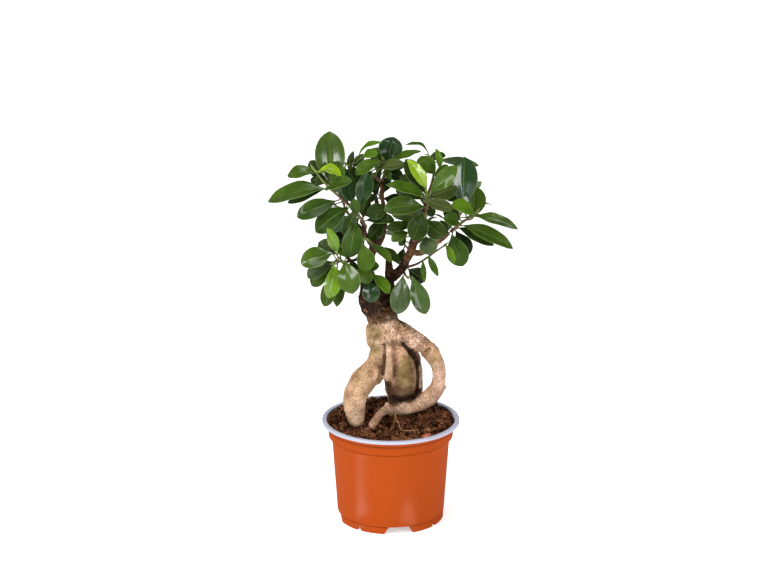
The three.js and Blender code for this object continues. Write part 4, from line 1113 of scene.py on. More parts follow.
# Creases pressed into the wood, as a line seen from the front, with a reach and a depth
CREASES = [
    ([(-5.8, 158), (-5.5, 151), (-5.1, 144), (-5.6, 137), (-6.5, 131)], 1.5, 1.6),
    ([(1.9, 148), (2.2, 142), (2.6, 134), (1.8, 127)], 1.2, 0.9),
    ([(10.5, 158.5), (15.5, 152.5), (19.8, 146.5)], 1.8, 1.8),
    ([(21.5, 143), (22.6, 137), (23.3, 130), (23.2, 122), (21.4, 113)], 1.5, 1.2),
    ([(-12.5, 154), (-12, 146), (-13.5, 140)], 1.6, 0.6),
    ([(-18, 179), (-12, 178.5), (-4, 181), (4, 183)], 1.6, 0.8),
    ([(21.5, 149.5), (27, 149), (32, 153)], 1.3, 0.9),
]

# Bark colours and painted shade, and where they lie: lines or places seen from the front, each with
# its reach, its colour and how strong that is
BARK = {
    "tan": (0.70, 0.455, 0.29),
    "pink": (0.76, 0.515, 0.385),
    "olive": (0.34, 0.255, 0.105),
    "umber": (0.13, 0.070, 0.038),
    "night": (0.014, 0.008, 0.006),
    "bark": (0.012, 0.0055, 0.0026),
    "rust": (0.21, 0.105, 0.055),
    "slate": (0.10, 0.10, 0.105),
    "bone": (0.82, 0.60, 0.44),
    "rose": (0.47, 0.26, 0.185),
    "deep_shadow": (0.032, 0.017, 0.008),
    "brown": (0.085, 0.045, 0.025),
    "twig": (0.30, 0.165, 0.085),
    "ash": (0.27, 0.23, 0.17),
    "straw": (0.70, 0.42, 0.19),
}
BANDS = [
    # Soft painted shade down the bulb's right side
    ([(18, 147), (20.8, 138), (21.8, 130), (21.8, 120), (18.5, 112)], 7.5, "umber", 0.6),
    # Painted shadow under the loop root's arm, and a painted shadow line down the bulb's side next to the
    # back root
    ([(11, 158), (15.6, 152), (19.6, 146.4)], 2.6, "deep_shadow", 0.95),
    ([(17, 150.5), (20.8, 144.2), (22.5, 138)], 3.6, "deep_shadow", 0.9),
    ([(22.3, 140), (23.3, 132), (23.8, 124.5), (23.2, 116), (19, 109.5)], 3.4, "deep_shadow", 0.85),
    # Painted shade in the crease left of the hanging root, and where the leg's inner side lies in shadow
    ([(-5.8, 157.4), (-5.5, 151.8), (-5.1, 144.8), (-5.6, 137.8), (-6.6, 130.8)], 1.8, "night", 0.85),
    ([(-8.5, 137), (-8.6, 131), (-10, 126)], 3.2, "umber", 0.8),
    ([(3.6, 143), (3.8, 137), (3.5, 130)], 3.4, "umber", 0.5),
    ([(-1.5, 121), (0, 114), (2, 108)], 4.2, "umber", 0.9),
    # Painted shadow on the bulb's base above the loop root, and soft painted shade on the bulb's underside
    ([(4, 109.5), (10, 108), (16.5, 111)], 3.8, "night", 0.9),
    ([(5, 116), (11, 113.5), (17, 116)], 5, "umber", 0.7),
    ([(9.5, 114.6), (14, 113), (18.6, 112.8)], 1.2, "ash", 0.55),
    ([(5.7, 181), (9, 178.6), (12, 175)], 1.8, "umber", 0.8),
    ([(-5.1, 179.5), (-2, 180.2), (1.6, 181.6)], 2.2, "slate", 0.85),
    ([(-19, 181), (-14, 179.6), (-8, 180.5)], 5, "umber", 0.85),
    ([(3.6, 182.6), (6, 182)], 3, "umber", 0.7),
    ([(25, 146.6), (29, 148.6), (33, 153.2)], 2.8, "rust", 0.7),
    ([(-6.9, 156), (-6.6, 149.6)], 1.2, "pink", 0.9),
    ([(1.5, 101.6), (6, 102)], 1.3, "rust", 0.6),
    ([(25.6, 138), (26.4, 129), (26, 119)], 1.8, "bone", 0.6),
]
STROKES = [
    ((-6, 172), 14, "tan", 0.4), ((-15.3, 167.9), 8, "olive", 0.65), ((-19, 175), 5, "olive", 0.5),
    ((-14.6, 151.8), 8, "olive", 0.6), ((-10.5, 141.3), 6, "umber", 0.5), ((-24, 129), 8, "olive", 0.35),
    ((-17.3, 130.8), 4, "rust", 0.5), ((-28.7, 124), 7, "olive", 0.4), ((-30.7, 113), 5, "olive", 0.35),
    ((-12.6, 163.7), 3, "rust", 0.55), ((-8, 174), 4, "rust", 0.4), ((-1, 176), 5, "bone", 0.4),
    ((-3, 170), 4, "rust", 0.4), ((5, 170), 4, "rust", 0.35), ((-11, 166), 3, "umber", 0.4),
    ((11.8, 162.3), 5, "umber", 0.45), ((3, 158.5), 4.5, "umber", 0.5), ((8.5, 158.5), 3, "umber", 0.6),
    ((3.5, 151.5), 5, "rose", 0.4), ((14.5, 142.7), 7, "olive", 0.85), ((12.5, 134), 8, "olive", 0.9),
    ((12, 124), 9, "olive", 0.85), ((4.3, 136), 4, "umber", 0.6), ((6, 121), 5, "umber", 0.5),
    # Painted shadow on the bulb's base, above the loop root
    ((7, 107, 15), 7, "night", 0.9), ((15, 108, 16), 6, "night", 0.85),
    ((2, 99.6), 4, "rose", 0.5), ((7, 99.8), 4.2, "pink", 0.8), ((12.5, 100.8), 4.2, "pink", 0.8),
    ((-2, 152), 3.2, "pink", 0.8), ((-2, 145), 3.2, "pink", 0.7), ((-2.2, 137), 3.4, "pink", 0.7),
    ((21.6, 149.7), 1.6, "night", 0.9), ((30.7, 151.8), 1.6, "night", 0.8), ((33, 154), 1.4, "night", 0.8),
    ((26, 162), 8, "pink", 0.5), ((24, 155), 3.2, "rust", 0.4), ((38, 157), 2.4, "rust", 0.7),
    ((20, 166), 4, "rust", 0.35), ((14, 169), 4, "rust", 0.4), ((31, 160), 4, "rust", 0.25),
    ((-32, 100), 10, "pink", 0.4), ((-28, 120), 8, "tan", 0.4), ((-22, 112), 5, "olive", 0.4),
    ((-24, 96), 4, "rust", 0.3), ((-29.5, 85), 9, "bone", 0.6), ((-36, 112), 4, "rose", 0.4),
    ((28, 104), 8, "pink", 0.4), ((20, 100), 5, "rose", 0.35), ((-4, 99), 4, "rose", 0.35),
    ((-11, 91), 7, "rose", 0.7), ((-16, 84), 6, "pink", 0.45), ((-0.9, 93.2), 3, "rose", 0.9),
    ((47, 118), 2.6, "rose", 0.8), ((43, 112), 6, "rose", 0.35), ((40, 150), 4, "tan", 0.4),
    ((-21.4, 188.2), 2.4, "twig", 0.8), ((-9.9, 181.2), 1.8, "twig", 0.8), ((-2.4, 187), 5, "rust", 0.7),
    ((-8, 193), 6, "rust", 0.4), ((-24.5, 199), 4, "rust", 0.5), ((3, 184.5), 3, "rust", 0.4),
    ((9, 226, -2), 9, "rust", 0.4), ((16, 238, -3), 8, "rust", 0.75), ((30, 243, -8), 8, "twig", 0.75),
    ((40, 250, -9), 7, "twig", 0.85), ((48, 257, -11), 7, "twig", 0.85), ((20, 250, -5), 6, "rust", 0.6),
    ((-25, 250, -6), 9, "rust", 0.85), ((-7, 290, 2), 12, "rust", 0.85), ((-7, 276, 2), 6, "rust", 0.7),
    ((-12, 246, 5), 7, "rust", 0.6), ((26, 268, -12), 8, "twig", 0.6), ((-1.5, 224, 0), 6, "rust", 0.35),
]


LIMB_ROWS = 60
PAINT_REACH = 1.35
PAINT_STEEPNESS = 1.6

# Heights on the wood where each change begins, and how far it spreads
DARK_BARK = (178, 13)
THIN_WOOD = (226, 24)
CALM_WOOD = (215, 20)
LUMPY_BODY = (146, 14)
TICKED_BODY = (150, 12)


def limb(pattern, points):
    """One root or branch, as wide and as deep at each point as its line says"""
    line = seen_line([point[:3] for point in points])
    sizes = SmoothLine([(point[3], point[-1], 0) for point in points])
    reach = unit(line.at(1) - line.at(0))
    sightwise = abs(reach @ TO_EYE) > 0.85
    facing = unit(np.array([0, 0.3, 1.0])) if sightwise else TO_EYE
    parts, centres, ways = tube_line(line, LIMB_ROWS)
    size_at = np.array([sizes.at(part) for part in parts])
    return tube(pattern, "limb", centres, ways, facing, size_at[:, 0], size_at[:, 1])


def nearness(where, spot, reach):
    """From 1 at a spot to 0 at its reach and beyond, which is longer from front to back"""
    off = where - spot
    off = off - np.outer(off @ TO_EYE, TO_EYE) * 0.5
    return smoothed(1 - np.linalg.norm(off, axis=1) / reach)


def near_line(where, points, reach):
    """The nearness to the closest part of a line"""
    line = SmoothLine(points)
    return np.max([nearness(where, line.at(step / 24), reach) for step in range(25)], axis=0)


def touched(piece, spot):
    """The place on a piece's front at a spot across and up, or the spot itself if it has a depth"""
    if len(spot) == 3:
        return seen(*spot)
    aim = seen(*spot, 0)
    hit, where = piece.ray_cast(Vector(EYE * MM), Vector(unit(aim - EYE)))[:2]
    return np.array(where) / MM if hit else aim


def neck_share(where):
    """From the pale roots, over a ragged line, to the dark neck and branches"""
    return above(where[:, 2] + 9 * noise_at(where, 0.16), *DARK_BARK)


def thin_share(where):
    """From the neck and thick branches to the thin ones"""
    return above(where[:, 2], *THIN_WOOD)


def rough_share(where):
    """How far the bark is the dark flaking kind: on the neck and the thick branches"""
    return neck_share(where) * (1 - 0.7 * thin_share(where))


def sculpt_wood(piece, settings):
    """Lumps, creases and rasped bark, moved along the surface's own normals"""
    where, out = places(piece), normals(piece)
    rough = rough_share(where)
    thin = above(where[:, 2], *CALM_WOOD)
    lumps = noise_at(where, 0.12)
    fine = noise_at(where, (0.45, 0.45, 0.3))
    rasp = noise_at(where, 0.9)
    push = lumps * settings.lumps / MM * (1 - thin) + fine * 0.28 * (1 - 0.6 * thin)
    push += (rasp + 0.3 * np.abs(fine)) * settings.rasp / MM * rough * (1 - 0.55 * thin)
    body = above(where[:, 2], *LUMPY_BODY) * (1 - rough)
    push += body * (0.45 * rasp + 0.5 * np.abs(fine))
    for points, reach, depth in CREASES:
        push -= depth * near_line(where, [touched(piece, spot) for spot in points], reach * 1.6)
    set_places(piece, where + out * push[:, None])


def towards(tone, goal, amount):
    """A step from the colour at each vertex towards another one"""
    return tone + (np.asarray(goal) - tone) * amount[:, None]


def paint_wood(piece):
    """Pale roots, the dark neck and branches, and the strokes and bands laid over them, some of them
    painted shade and painted shadow in the creases and round the bulb
    """
    where = places(piece)
    rough = rough_share(where)
    drift = noise_at(where, 0.05)
    tone = towards(np.array(BARK["tan"]), BARK["pink"], smoothed(0.5 + 1.6 * drift))
    dark = towards(np.array(BARK["bark"]), BARK["brown"], thin_share(where))
    tone = towards(tone, dark, smoothed(neck_share(where) * 1.4) * 0.96)
    for spot, reach, name, strength in STROKES:
        near = nearness(where, touched(piece, spot), reach * PAINT_REACH)
        tone = towards(tone, BARK[name], strength * smoothed(PAINT_STEEPNESS * near))
    for points, reach, name, strength in BANDS:
        near = near_line(where, [touched(piece, spot) for spot in points], reach * PAINT_REACH)
        tone = towards(tone, BARK[name], strength * smoothed(PAINT_STEEPNESS * near))
    ticks = noise_at(where, (0.7, 0.7, 1.1))
    body = above(where[:, 2], *TICKED_BODY)
    tone *= 1 - ((0.22 + 0.4 * body) * (1 - rough) * smoothed(2.4 * ticks))[:, None]
    tone *= 1 + ((0.05 + 0.15 * body) * (1 - rough) * smoothed(-2.4 * ticks))[:, None]
    paint(piece, "tint", tone)
    paint(piece, "flake", rough)
    paint(piece, "moss", (1 - rough) * (0.35 + 0.65 * smoothed(0.5 + 2 * drift)))


def build_trunk(settings):
    """Limbs and knobs grown into one skin, which is then sculpted and painted"""
    stout = sheet_pattern("stout_limb", 28, LIMB_ROWS)
    slim = sheet_pattern("slim_limb", 16, LIMB_ROWS)
    roots = (LEFT_LEG, LOOP_ROOT, BULB, BACK_ROOT, NECK, HANGING_ROOT)
    limbs = [limb(stout, points) for points in roots]
    limbs += [limb(slim, points) for points in BRANCHES]
    for across, up, behind, radius in KNOBS:
        deselect()
        bpy.ops.mesh.primitive_ico_sphere_add(
            subdivisions=3, radius=radius * MM, location=tuple(seen(across, up, behind) * MM),
        )
        bpy.ops.object.transform_apply(location=True, rotation=True, scale=True)
        limbs.append(bpy.context.active_object)
    for spare in (stout, slim):
        bpy.data.objects.remove(spare)
    piece = join(limbs, "ginseng_trunk")
    merge_doubles(piece)
    apply_modifier(piece, "REMESH", mode="VOXEL", voxel_size=settings.grain_size)
    apply_modifier(piece, "SMOOTH", factor=0.5, iterations=3)
    sculpt_wood(piece, settings)
    paint_wood(piece)
    dress(piece, [bark(settings)], 180, "bark", "trunk")


# Root hairs, as the line that each one follows, its radius and its colour

HAIR_ROWS = 24
HAIRS = [
    ([(3.8, 95, 7), (4.8, 89, -3), (6.8, 85.6, -10), (8.2, 81, -21), (10.2, 78.6, -26), (18, 78.2, -27),
      (24, 78.6, -26)], 0.42, "straw"),
    ([(3.4, 95, 7), (3.4, 90, 0), (4.2, 86.5, -8)], 0.32, "straw"),
    ([(-7, 93.5, -2), (-8.6, 88.6, -8), (-6.2, 86.4, -12)], 0.3, "twig"),
    ([(-15.5, 84, -14), (-18.6, 81.5, -19), (-21.5, 79.6, -23), (-23.4, 79, -24)], 1.0, "rose"),
    ([(-13, 83, -17), (-14.2, 80, -22), (-13.6, 77.6, -26)], 0.8, "twig"),
    ([(-20.5, 118, -3), (-17.8, 116.8, -1), (-15.8, 114.8, 0)], 0.3, "umber"),
    ([(-1.5, 118, 15), (-4, 117.2, 13), (-5.4, 115.4, 13)], 0.28, "umber"),
    ([(-16, 101, 34), (-16.2, 105.5, 34), (-14.4, 107.5, 33)], 0.3, "umber"),
    ([(-6, 101, 35), (-5.2, 106.5, 35), (-6.6, 108.5, 34)], 0.3, "umber"),
]


def build_root_hairs():
    """Thin roots and fibres, which lie on the soil where they reach it"""
    pattern = sheet_pattern("hair", 5, HAIR_ROWS)
    hairs = []
    for points, radius, tone in HAIRS:
        parts, centres, ways = tube_line(seen_line(points), HAIR_ROWS - 1)
        for centre in centres[2:-2]:
            centre[2] = max(centre[2], fine_soil_height(centre[0], centre[1]) + 0.3)
        width = radius * (1 - 0.5 * parts)
        hair = tube(pattern, "hair", centres, ways, np.array([1, 0.2, 0.1]), width)
        paint_all(hair, "tint", BARK[tone])
        hairs.append(hair)
    bpy.data.objects.remove(pattern)
    piece = join(hairs, "root_hairs")
    merge_doubles(piece)
    dress(piece, [bpy.data.materials["coir"]], 60, "bark")


# Leaves: each is read as base, tip, width, lean, arch and tone, and some have a polish

TONES = {
    "lime": (0.22, 0.35, 0.010),
    "fresh": (0.110, 0.215, 0.006),
    "bright": (0.070, 0.147, 0.007),
    "mid": (0.040, 0.083, 0.006),
    "deep": (0.037, 0.072, 0.008),
    "moss": (0.026, 0.056, 0.007),
    # Partly the leaves' own dark green, partly painted shade for leaves deep in the crown
    "dark": (0.018, 0.036, 0.005),
    # Painted shade: near black, for leaves deep in the crown
    "black": (0.007, 0.014, 0.003),
    "olive": (0.044, 0.062, 0.014),
    # Partly a grey-green, partly a painted sheen
    "grey": (0.050, 0.078, 0.030),
    "blue": (0.014, 0.040, 0.010),
    "pale": (0.050, 0.100, 0.010),
}
FRONT_STEMS = {
    "upper_left": (1.6, [(-26.1, 270.6, -4), (-31, 278, -6), (-42, 288, -8), (-54, 299, -10),
                         (-65, 313, -9)], [
        ((-49, 299, -7), (-51.8, 346, -2), 26, 0, 2, "deep", 1),
        ((-62, 310.5, -7), (-87.5, 308, 2), 13, 30, 3, "mid", 0.5),
        ((-56, 301, -3), (-68, 321, 6), 13, 10, 1.5, "dark"),
        ((-61, 311, -12), (-42, 308, -19), 11, 42, 5, "lime", 0.9),
        ((-57, 296.5, -11), (-105, 285.7, 10), 20, 38, 2, "mid", 0.9),
        ((-55, 301, -7), (-68, 304.5, -4), 8, 0, 1.5, "dark"),
        ((-57, 296, -5), (-88, 284, 14), 11, 20, 1.5, "dark"),
        ((-47, 285.5, -13), (-80, 272, -17), 17, 20, 2, "moss", 0.4),
        ((-48, 283, -5), (-79.5, 270.5, -3), 8, -30, 1.5, "blue"),
        ((-36, 279.5, -14), (-64, 258, -21), 19, 15, 3, "moss"),
        ((-55, 295, -15), (-33, 303.5, -25), 13, 45, 1.5, "deep"),
        ((-49, 300, -12), (-41, 317, -12), 13, 10, 1.5, "mid"),
    ]),
    "left_of_centre": (1.4, [(-21, 263, -6.5), (-24, 268, -11), (-27, 273, -15), (-28.5, 277, -17)], [
        ((-27, 281, -16), (-19, 310, -14), 15, -10, 2, "blue", 0.25),
        ((-29, 275, -19), (-31.5, 287.5, -24), 9, 0, 1.5, "moss"),
        ((-30, 269, -17), (-35.5, 235.5, -21), 18, 10, 2, "moss"),
        ((-22, 273, -11), (-4, 278.5, -13), 14, 0, 1.5, "dark"),
        ((-21, 268.5, -9), (3, 269, -13), 11, 30, 1.5, "dark"),
        ((-30, 279, -16), (-39, 255, -20), 11, 0, 1.5, "dark"),
        ((-24, 272, -8), (-21, 290, -7), 12, 0, 1.5, "dark"),
    ]),
    "top_left": (1.5, [(-8.2, 302.6, 3.2), (-14, 307, 4), (-24, 311, 3), (-34, 315.5, 2), (-38, 318, 1)], [
        ((-39, 315, -4), (-34, 285, -11), 14, 0, 2, "blue"),
        ((-36, 313.5, 3), (-31.5, 329, 4), 6, 0, 1.5, "grey"),
        ((-32, 314, 3), (-22, 326, 8), 8, 30, 1.5, "grey"),
        ((-27, 325, 2), (-7, 336.5, -4), 8, 60, 4, "bright"),
        ((-24, 324, 0), (-11, 327, -6), 9, 30, 1.5, "bright"),
        ((-9, 320.5, -5), (-30, 309, -9), 13, 30, 2, "mid"),
        ((-16, 311, -1), (-31, 300, -3), 12, 10, 1.5, "dark"),
        ((-28, 315, -2), (-37, 303, -4), 12, 0, 1.5, "dark"),
        ((-12, 314, -1), (12, 317.5, -7), 12, 40, 1.5, "olive"),
    ]),
    "top": (1.4, [(-7.6, 303, 5.2), (-5, 311, 9), (-6, 320, 9), (-6.5, 322, 8.5)], [
        ((-2.5, 319, 9), (2.3, 341, 13), 21, 0, 2, "blue", 0.4),
        ((-2, 319, 6), (25, 329.5, 0), 10, 50, 1, "mid"),
        ((-4, 314, 4), (-1, 304, -4), 6, 0, 1.5, "mid"),
        ((-8, 312, 12), (-20, 296, 14), 13, 10, 1.5, "dark"),
        ((-6, 319, 12), (-12.5, 332, 16), 9, 0, 1.5, "mid"),
        ((-2, 310, 5), (10, 304, 0), 11, 20, 1.5, "dark"),
    ]),
    "upper_right": (1.5, [(28.8, 273.6, -15.3), (31, 281, -18), (31, 289, -20), (30, 294, -21)], [
        ((29.5, 297, -23), (14, 322, -30), 12, 25, 2, "lime", 1),
        ((30, 292, -18), (12.5, 322, -20), 16, 0, 1.5, "dark"),
        ((28, 290, -24), (-3.5, 300.5, -33), 13, 40, 2, "mid"),
        ((28, 280.5, -21), (-6, 278, -32), 18, 25, 2, "deep", 0.2),
        ((27, 287, -16), (4, 295, -14), 12, 20, 1.5, "dark"),
        ((27, 291, -11), (8, 308, -9), 13, 0, 1.5, "dark"),
        ((34, 294, -24), (55.5, 316, -31), 14, 0, 2, "mid", 0.4),
        ((33, 289, -17), (56, 298, -18), 15, 0, 1.5, "olive"),
        ((29, 285, -27), (53, 278.5, -35), 11, 20, 1, "olive"),
        ((31, 283, -14), (35.5, 272, -17), 9, 0, 1.5, "dark"),
    ]),
    "top_right": (1.4, [(31, 290, -8), (35, 303, -9), (36.5, 313, -10), (36, 319, -11)], [
        ((32, 325, -12), (12.5, 334.5, -17), 8, 70, 5, "mid"),
        ((30, 320, -5), (46, 326, 0), 9, 30, 1.5, "dark"),
        ((37, 309, -16), (25, 324, -20), 13, 10, 1.5, "mid"),
        ((41, 314, -14), (38, 331, -12), 7, 30, 1.5, "bright"),
        ((41, 321, -6), (74.5, 316.5, 0), 9, 20, 2, "grey"),
        ((33, 318, -7), (22, 321, -2), 9, 20, 1.5, "mid"),
        ((38, 300, -5), (57, 287, -3), 13, 0, 1.5, "dark"),
        ((37, 305, -13), (48, 317, -15), 9, 0, 1.5, "mid"),
    ]),
    "right": (1.6, [(50.9, 258.9, -11.4), (56, 263, -12), (62, 268, -12), (70, 273, -12),
                    (72, 275, -12)], [
        ((62, 281, -15), (62, 324, -10), 24, 0, 2, "blue", 1),
        ((69, 270, -7), (70.5, 299, -3), 21, 0, 1.5, "deep"),
        ((71, 274, -16), (51.5, 282, -32), 15, 40, 2, "bright"),
        ((72, 272.5, -14), (108, 261.5, -38), 12, 35, 3, "mid", 0.9),
        ((62, 264, -15), (104.5, 244, -24), 15, 30, 3, "deep"),
        ((58, 262, -9), (88, 246.5, -12), 12, 20, 3, "dark"),
        ((52, 256, -18), (61.5, 228, -24), 19, 0, 1, "moss"),
        ((55.5, 259, -5), (65.5, 237, -6), 16, 0, 1, "black"),
        ((58, 266, -17), (45, 271, -27), 12, 20, 1.5, "mid"),
        ((47, 257, -15), (42, 268.5, -18), 9, 0, 1.5, "dark"),
        ((50, 264, -9), (36.5, 274, -12), 6, 80, 1.5, "dark"),
        ((59, 269, -9), (45, 280, -6), 13, 0, 1.5, "dark"),
    ]),
    "right_twig": (1.3, [(14.5, 227.5, -7.5), (22, 230, -12), (30, 235, -15), (38, 241, -16),
                         (45, 246, -18)], [
        ((47, 246.5, -26), (54.6, 230.5, -38), 6.5, 20, 1, "bright"),
        ((32, 237, -17), (40.5, 219, -24), 6.5, 0, 1.5, "mid"),
        ((27.4, 233, -15), (29, 213.5, -22), 5, 0, 1.5, "mid"),
        ((15, 225.5, -10), (29.5, 215, -13), 15, 0, 1.5, "black"),
    ]),
    "right_of_centre": (1.4, [(19.2, 250.4, -8.9), (21, 256, -14), (24, 262, -18), (27.5, 269, -20),
                              (28.5, 271, -20.5)], [
        ((27, 275, -26), (19, 251, -36), 18, 0, 2, "dark"),
        ((29, 268, -25), (45, 253.5, -31), 16, 0, 2, "dark"),
        ((30, 254, -27), (33, 238, -36), 16, 0, 1, "grey"),
        ((15, 258, -18), (0.5, 250.5, -24), 11, 30, 1.5, "deep"),
        ((13, 254, -12), (7, 246.5, -13), 6, 0, 1.5, "dark"),
        ((17, 263, -16), (-4, 261.5, -20), 10, 20, 1.5, "dark"),
        ((18, 264, -13), (11, 274, -10), 9, 0, 1.5, "mid"),
        ((24, 271, -15), (0, 275.5, -13), 11, 0, 1.5, "olive"),
    ]),
    "right_below": (1.2, [(11.5, 222.4, -6.5), (12.5, 220.5, -9), (13.5, 219, -11)], [
        ((10.5, 219.5, -14), (6, 185, -22), 18, 0, 1, "grey", 0.5),
        ((18, 219, -19), (30.3, 185, -24), 16, 0, 1, "moss", 0.4),
    ]),
    "centre": (1.2, [(-13.7, 247, -1.1), (-16, 249, -6), (-19, 251, -8)], [
        ((-16, 246.5, -12), (1, 231.5, -18), 9, 30, 2, "mid"),
        ((-8, 245, -7), (8, 230, -9), 9, 30, 1.5, "dark"),
        ((-19, 250, -3), (-8, 267, -1), 13, 0, 1.5, "dark"),
    ]),
    "centre_below": (1.2, [(-22.4, 218, -8.6), (-22, 221, -11), (-21, 225, -13)], [
        ((-21, 214.5, -17), (-14, 196, -24), 15, 0, 1, "blue", 0.8),
        ((-17, 221, -15), (-1, 204, -22), 11, 30, 2, "bright"),
        ((-19, 226, -14), (-10, 228, -22), 10, 30, 1.5, "mid"),
        ((-27, 230, -17), (-18, 213, -20), 13, 0, 1.5, "mid"),
    ]),
    "left_middle": (1.2, [(-25.6, 244, -8.9), (-25, 247, -12), (-24, 250, -15)], [
        ((-23, 247, -22), (-20.5, 223.5, -29), 16, 0, 1, "mid"),
    ]),
    "behind_fork": (1.1, [(15, 243.5, 1.2), (13.5, 245, 4), (12, 247, 6)], [
        ((11, 244, 6), (7.5, 232, 4), 8, 0, 1.5, "dark"),
    ]),
    # Leaves deep in the crown, darkened with painted shade
    "inner": (1.2, [(-7.3, 286, 5.2), (-9, 288.5, 11), (-9, 292, 17)], [
        ((-11, 292, 19), (-18, 305, 25), 14, 0, 1.5, "dark"),
        ((-6, 293, 18), (-3, 306, 20), 11, 0, 1.5, "dark"),
        ((-6, 288, 15), (9, 285, 19), 12, 0, 1.5, "black"),
        ((-11, 288.5, 14), (-23, 288, 18), 9, 0, 1.5, "dark"),
    ]),
    "left_low": (1.4, [(-39.6, 232, -18.6), (-43, 232.5, -20), (-47, 233, -21.5), (-49, 231.5, -22)], [
        ((-50, 239.5, -22), (-77, 230.5, -29), 19, 20, 2, "mid", 0.9),
        ((-49, 232, -21), (-71.5, 218, -22), 15, 20, 1.5, "grey"),
        ((-50, 229, -15), (-68, 210.5, -14), 14, 10, 1.5, "deep"),
        ((-48.5, 230, -27), (-53, 199.5, -36), 15, 15, 2, "fresh", 0.9),
        ((-39, 232, -25), (-32.5, 203.5, -37), 20, 0, 2, "pale", 0.7),
        ((-46, 226, -20), (-45.5, 209, -24), 12, 0, 1.5, "black"),
        ((-44, 222, -16), (-57.5, 192, -21), 14, 10, 2, "deep"),
        ((-40, 220, -11), (-47, 191.5, -13), 12, 20, 1.5, "deep"),
        ((-46, 241, -24), (-54, 262, -27), 10, 10, 2, "fresh", 0.9),
        ((-47, 239, -17), (-61.5, 249.5, -15), 15, 10, 1.5, "grey"),
        ((-44, 244, -12), (-44, 259, -7), 9, 0, 1.5, "black"),
        ((-38.5, 236, -21), (-46.5, 247.5, -18), 9, 20, 1.5, "mid"),
        ((-38, 229, -14), (-29, 226, -12), 9, 20, 1.5, "dark"),
    ]),
}

# Stems behind, as a seed, how many leaves, a first turn and the points of the twig; their
# leaves stand round them at the golden angle
BACK_STEMS = {
    "back_upper_left": (11, 5, 115, [(-36, 274, 27.5), (-39, 280, 30), (-42, 288, 31)]),
    "back_top": (12, 6, 350, [(-13.9, 295.4, 30.3), (-13, 300, 31.5), (-11, 307, 33)]),
    "back_upper_right": (13, 6, 95, [(30.1, 271.4, 23.8), (29, 279, 26), (27, 289, 29)]),
    "back_right": (14, 5, 345, [(54, 268.4, 21.5), (59, 274, 25), (63, 282, 28)]),
    "back_left": (15, 5, 105, [(-38, 236.5, 26.5), (-41, 240, 29), (-43, 245, 31)]),
    "back_low_right": (16, 5, 175, [(20.2, 247, 28.8), (19.5, 248.5, 30.5), (20, 251, 32.2)]),
}
BACK_STEM_RADIUS = 1.4
BACK_LENGTH = 30
BACK_WIDTH = 17
BACK_SPREAD = 62
BACK_CLOSING = 34
BACK_DROOP = 0.12
BACK_FLATNESS = 0.75
GOLDEN_ANGLE = 137.5
STALK_LENGTH = 8
PLAIN_POLISH = 0.05
TWIG_FACING = unit(TO_EYE + 0.3 * SKY)
TWIG_SWELLINGS = 9
TWIG_ROWS = 30
STALK_ROWS = 10
BUD_ROWS = 10
LEAF_SEED = 41
DARK_TWIGS = ("right_twig", "right_below", "centre_below")
BROWN_TWIGS = ("right_twig", "left_of_centre", "right_of_centre", "top", "inner", "behind_fork")

# Half widths along a blade, as shares of half its width
BROAD = (
    (0, 0.05, 0.12, 0.2, 0.3, 0.4, 0.5, 0.6, 0.7, 0.8, 0.88, 0.94, 0.98, 1),
    (0.07, 0.135, 0.30, 0.50, 0.72, 0.88, 0.96, 0.98, 0.94, 0.82, 0.64, 0.42, 0.19, 0),
)
SLENDER = (
    (0, 0.05, 0.12, 0.2, 0.3, 0.4, 0.5, 0.6, 0.7, 0.8, 0.88, 0.94, 0.98, 1),
    (0.07, 0.18, 0.40, 0.61, 0.81, 0.92, 0.95, 0.93, 0.84, 0.68, 0.48, 0.29, 0.12, 0),
)


def read_leaf(base, tip, width, lean, arch, tone, polish=PLAIN_POLISH):
    """A leaf read from the front: it leans from the viewer to the sky by a number of degrees"""
    base, tip = seen(*base), seen(*tip)
    way = unit(tip - base)
    sky = unit(np.cross(way, TO_EYE))
    if sky[2] + 0.2 * sky[0] < 0:
        sky = -sky
    front = unit(TO_EYE - way * (TO_EYE @ way))
    turn = math.radians(lean)
    facing = front * math.cos(turn) + sky * math.sin(turn)
    return {
        "base": base, "tip": tip, "facing": facing, "width": width, "arch": arch, "tone": tone,
        "polish": polish,
    }


def back_leaves(seed, count, turn, points):
    """Leaves that stand round a twig, longer and leaning further out at its lower end"""
    random = random_numbers(seed)
    curve = seen_line(points)
    tones = ("deep", "mid", "dark", "deep", "mid", "bright")
    made = []
    for index in range(count):
        part = index / (count - 1)
        place = curve.at(0.35 + 0.65 * part)
        way = curve.way(0.35 + 0.65 * part)
        first = unit(np.cross(way, SKY))
        second = np.cross(first, way)
        angle = math.radians(turn + GOLDEN_ANGLE * index + 20 * (next(random) - 0.5))
        spread = math.radians(BACK_SPREAD - BACK_CLOSING * part)
        out = first * math.cos(angle) + second * math.sin(angle)
        aim = way * math.cos(spread) + out * math.sin(spread)
        aim[2] -= BACK_DROOP
        aim[1] *= BACK_FLATNESS
        aim = unit(aim)
        length = BACK_LENGTH * (1 - 0.25 * part) * (0.9 + 0.2 * next(random))
        made.append({
            "base": place + aim * STALK_LENGTH * 0.8,
            "tip": place + aim * (STALK_LENGTH * 0.8 + length),
            "facing": unit(way * 0.6 + SKY),
            "width": BACK_WIDTH * length / BACK_LENGTH,
            "arch": 2,
            "tone": tones[index % len(tones)],
            "polish": PLAIN_POLISH,
        })
    return made


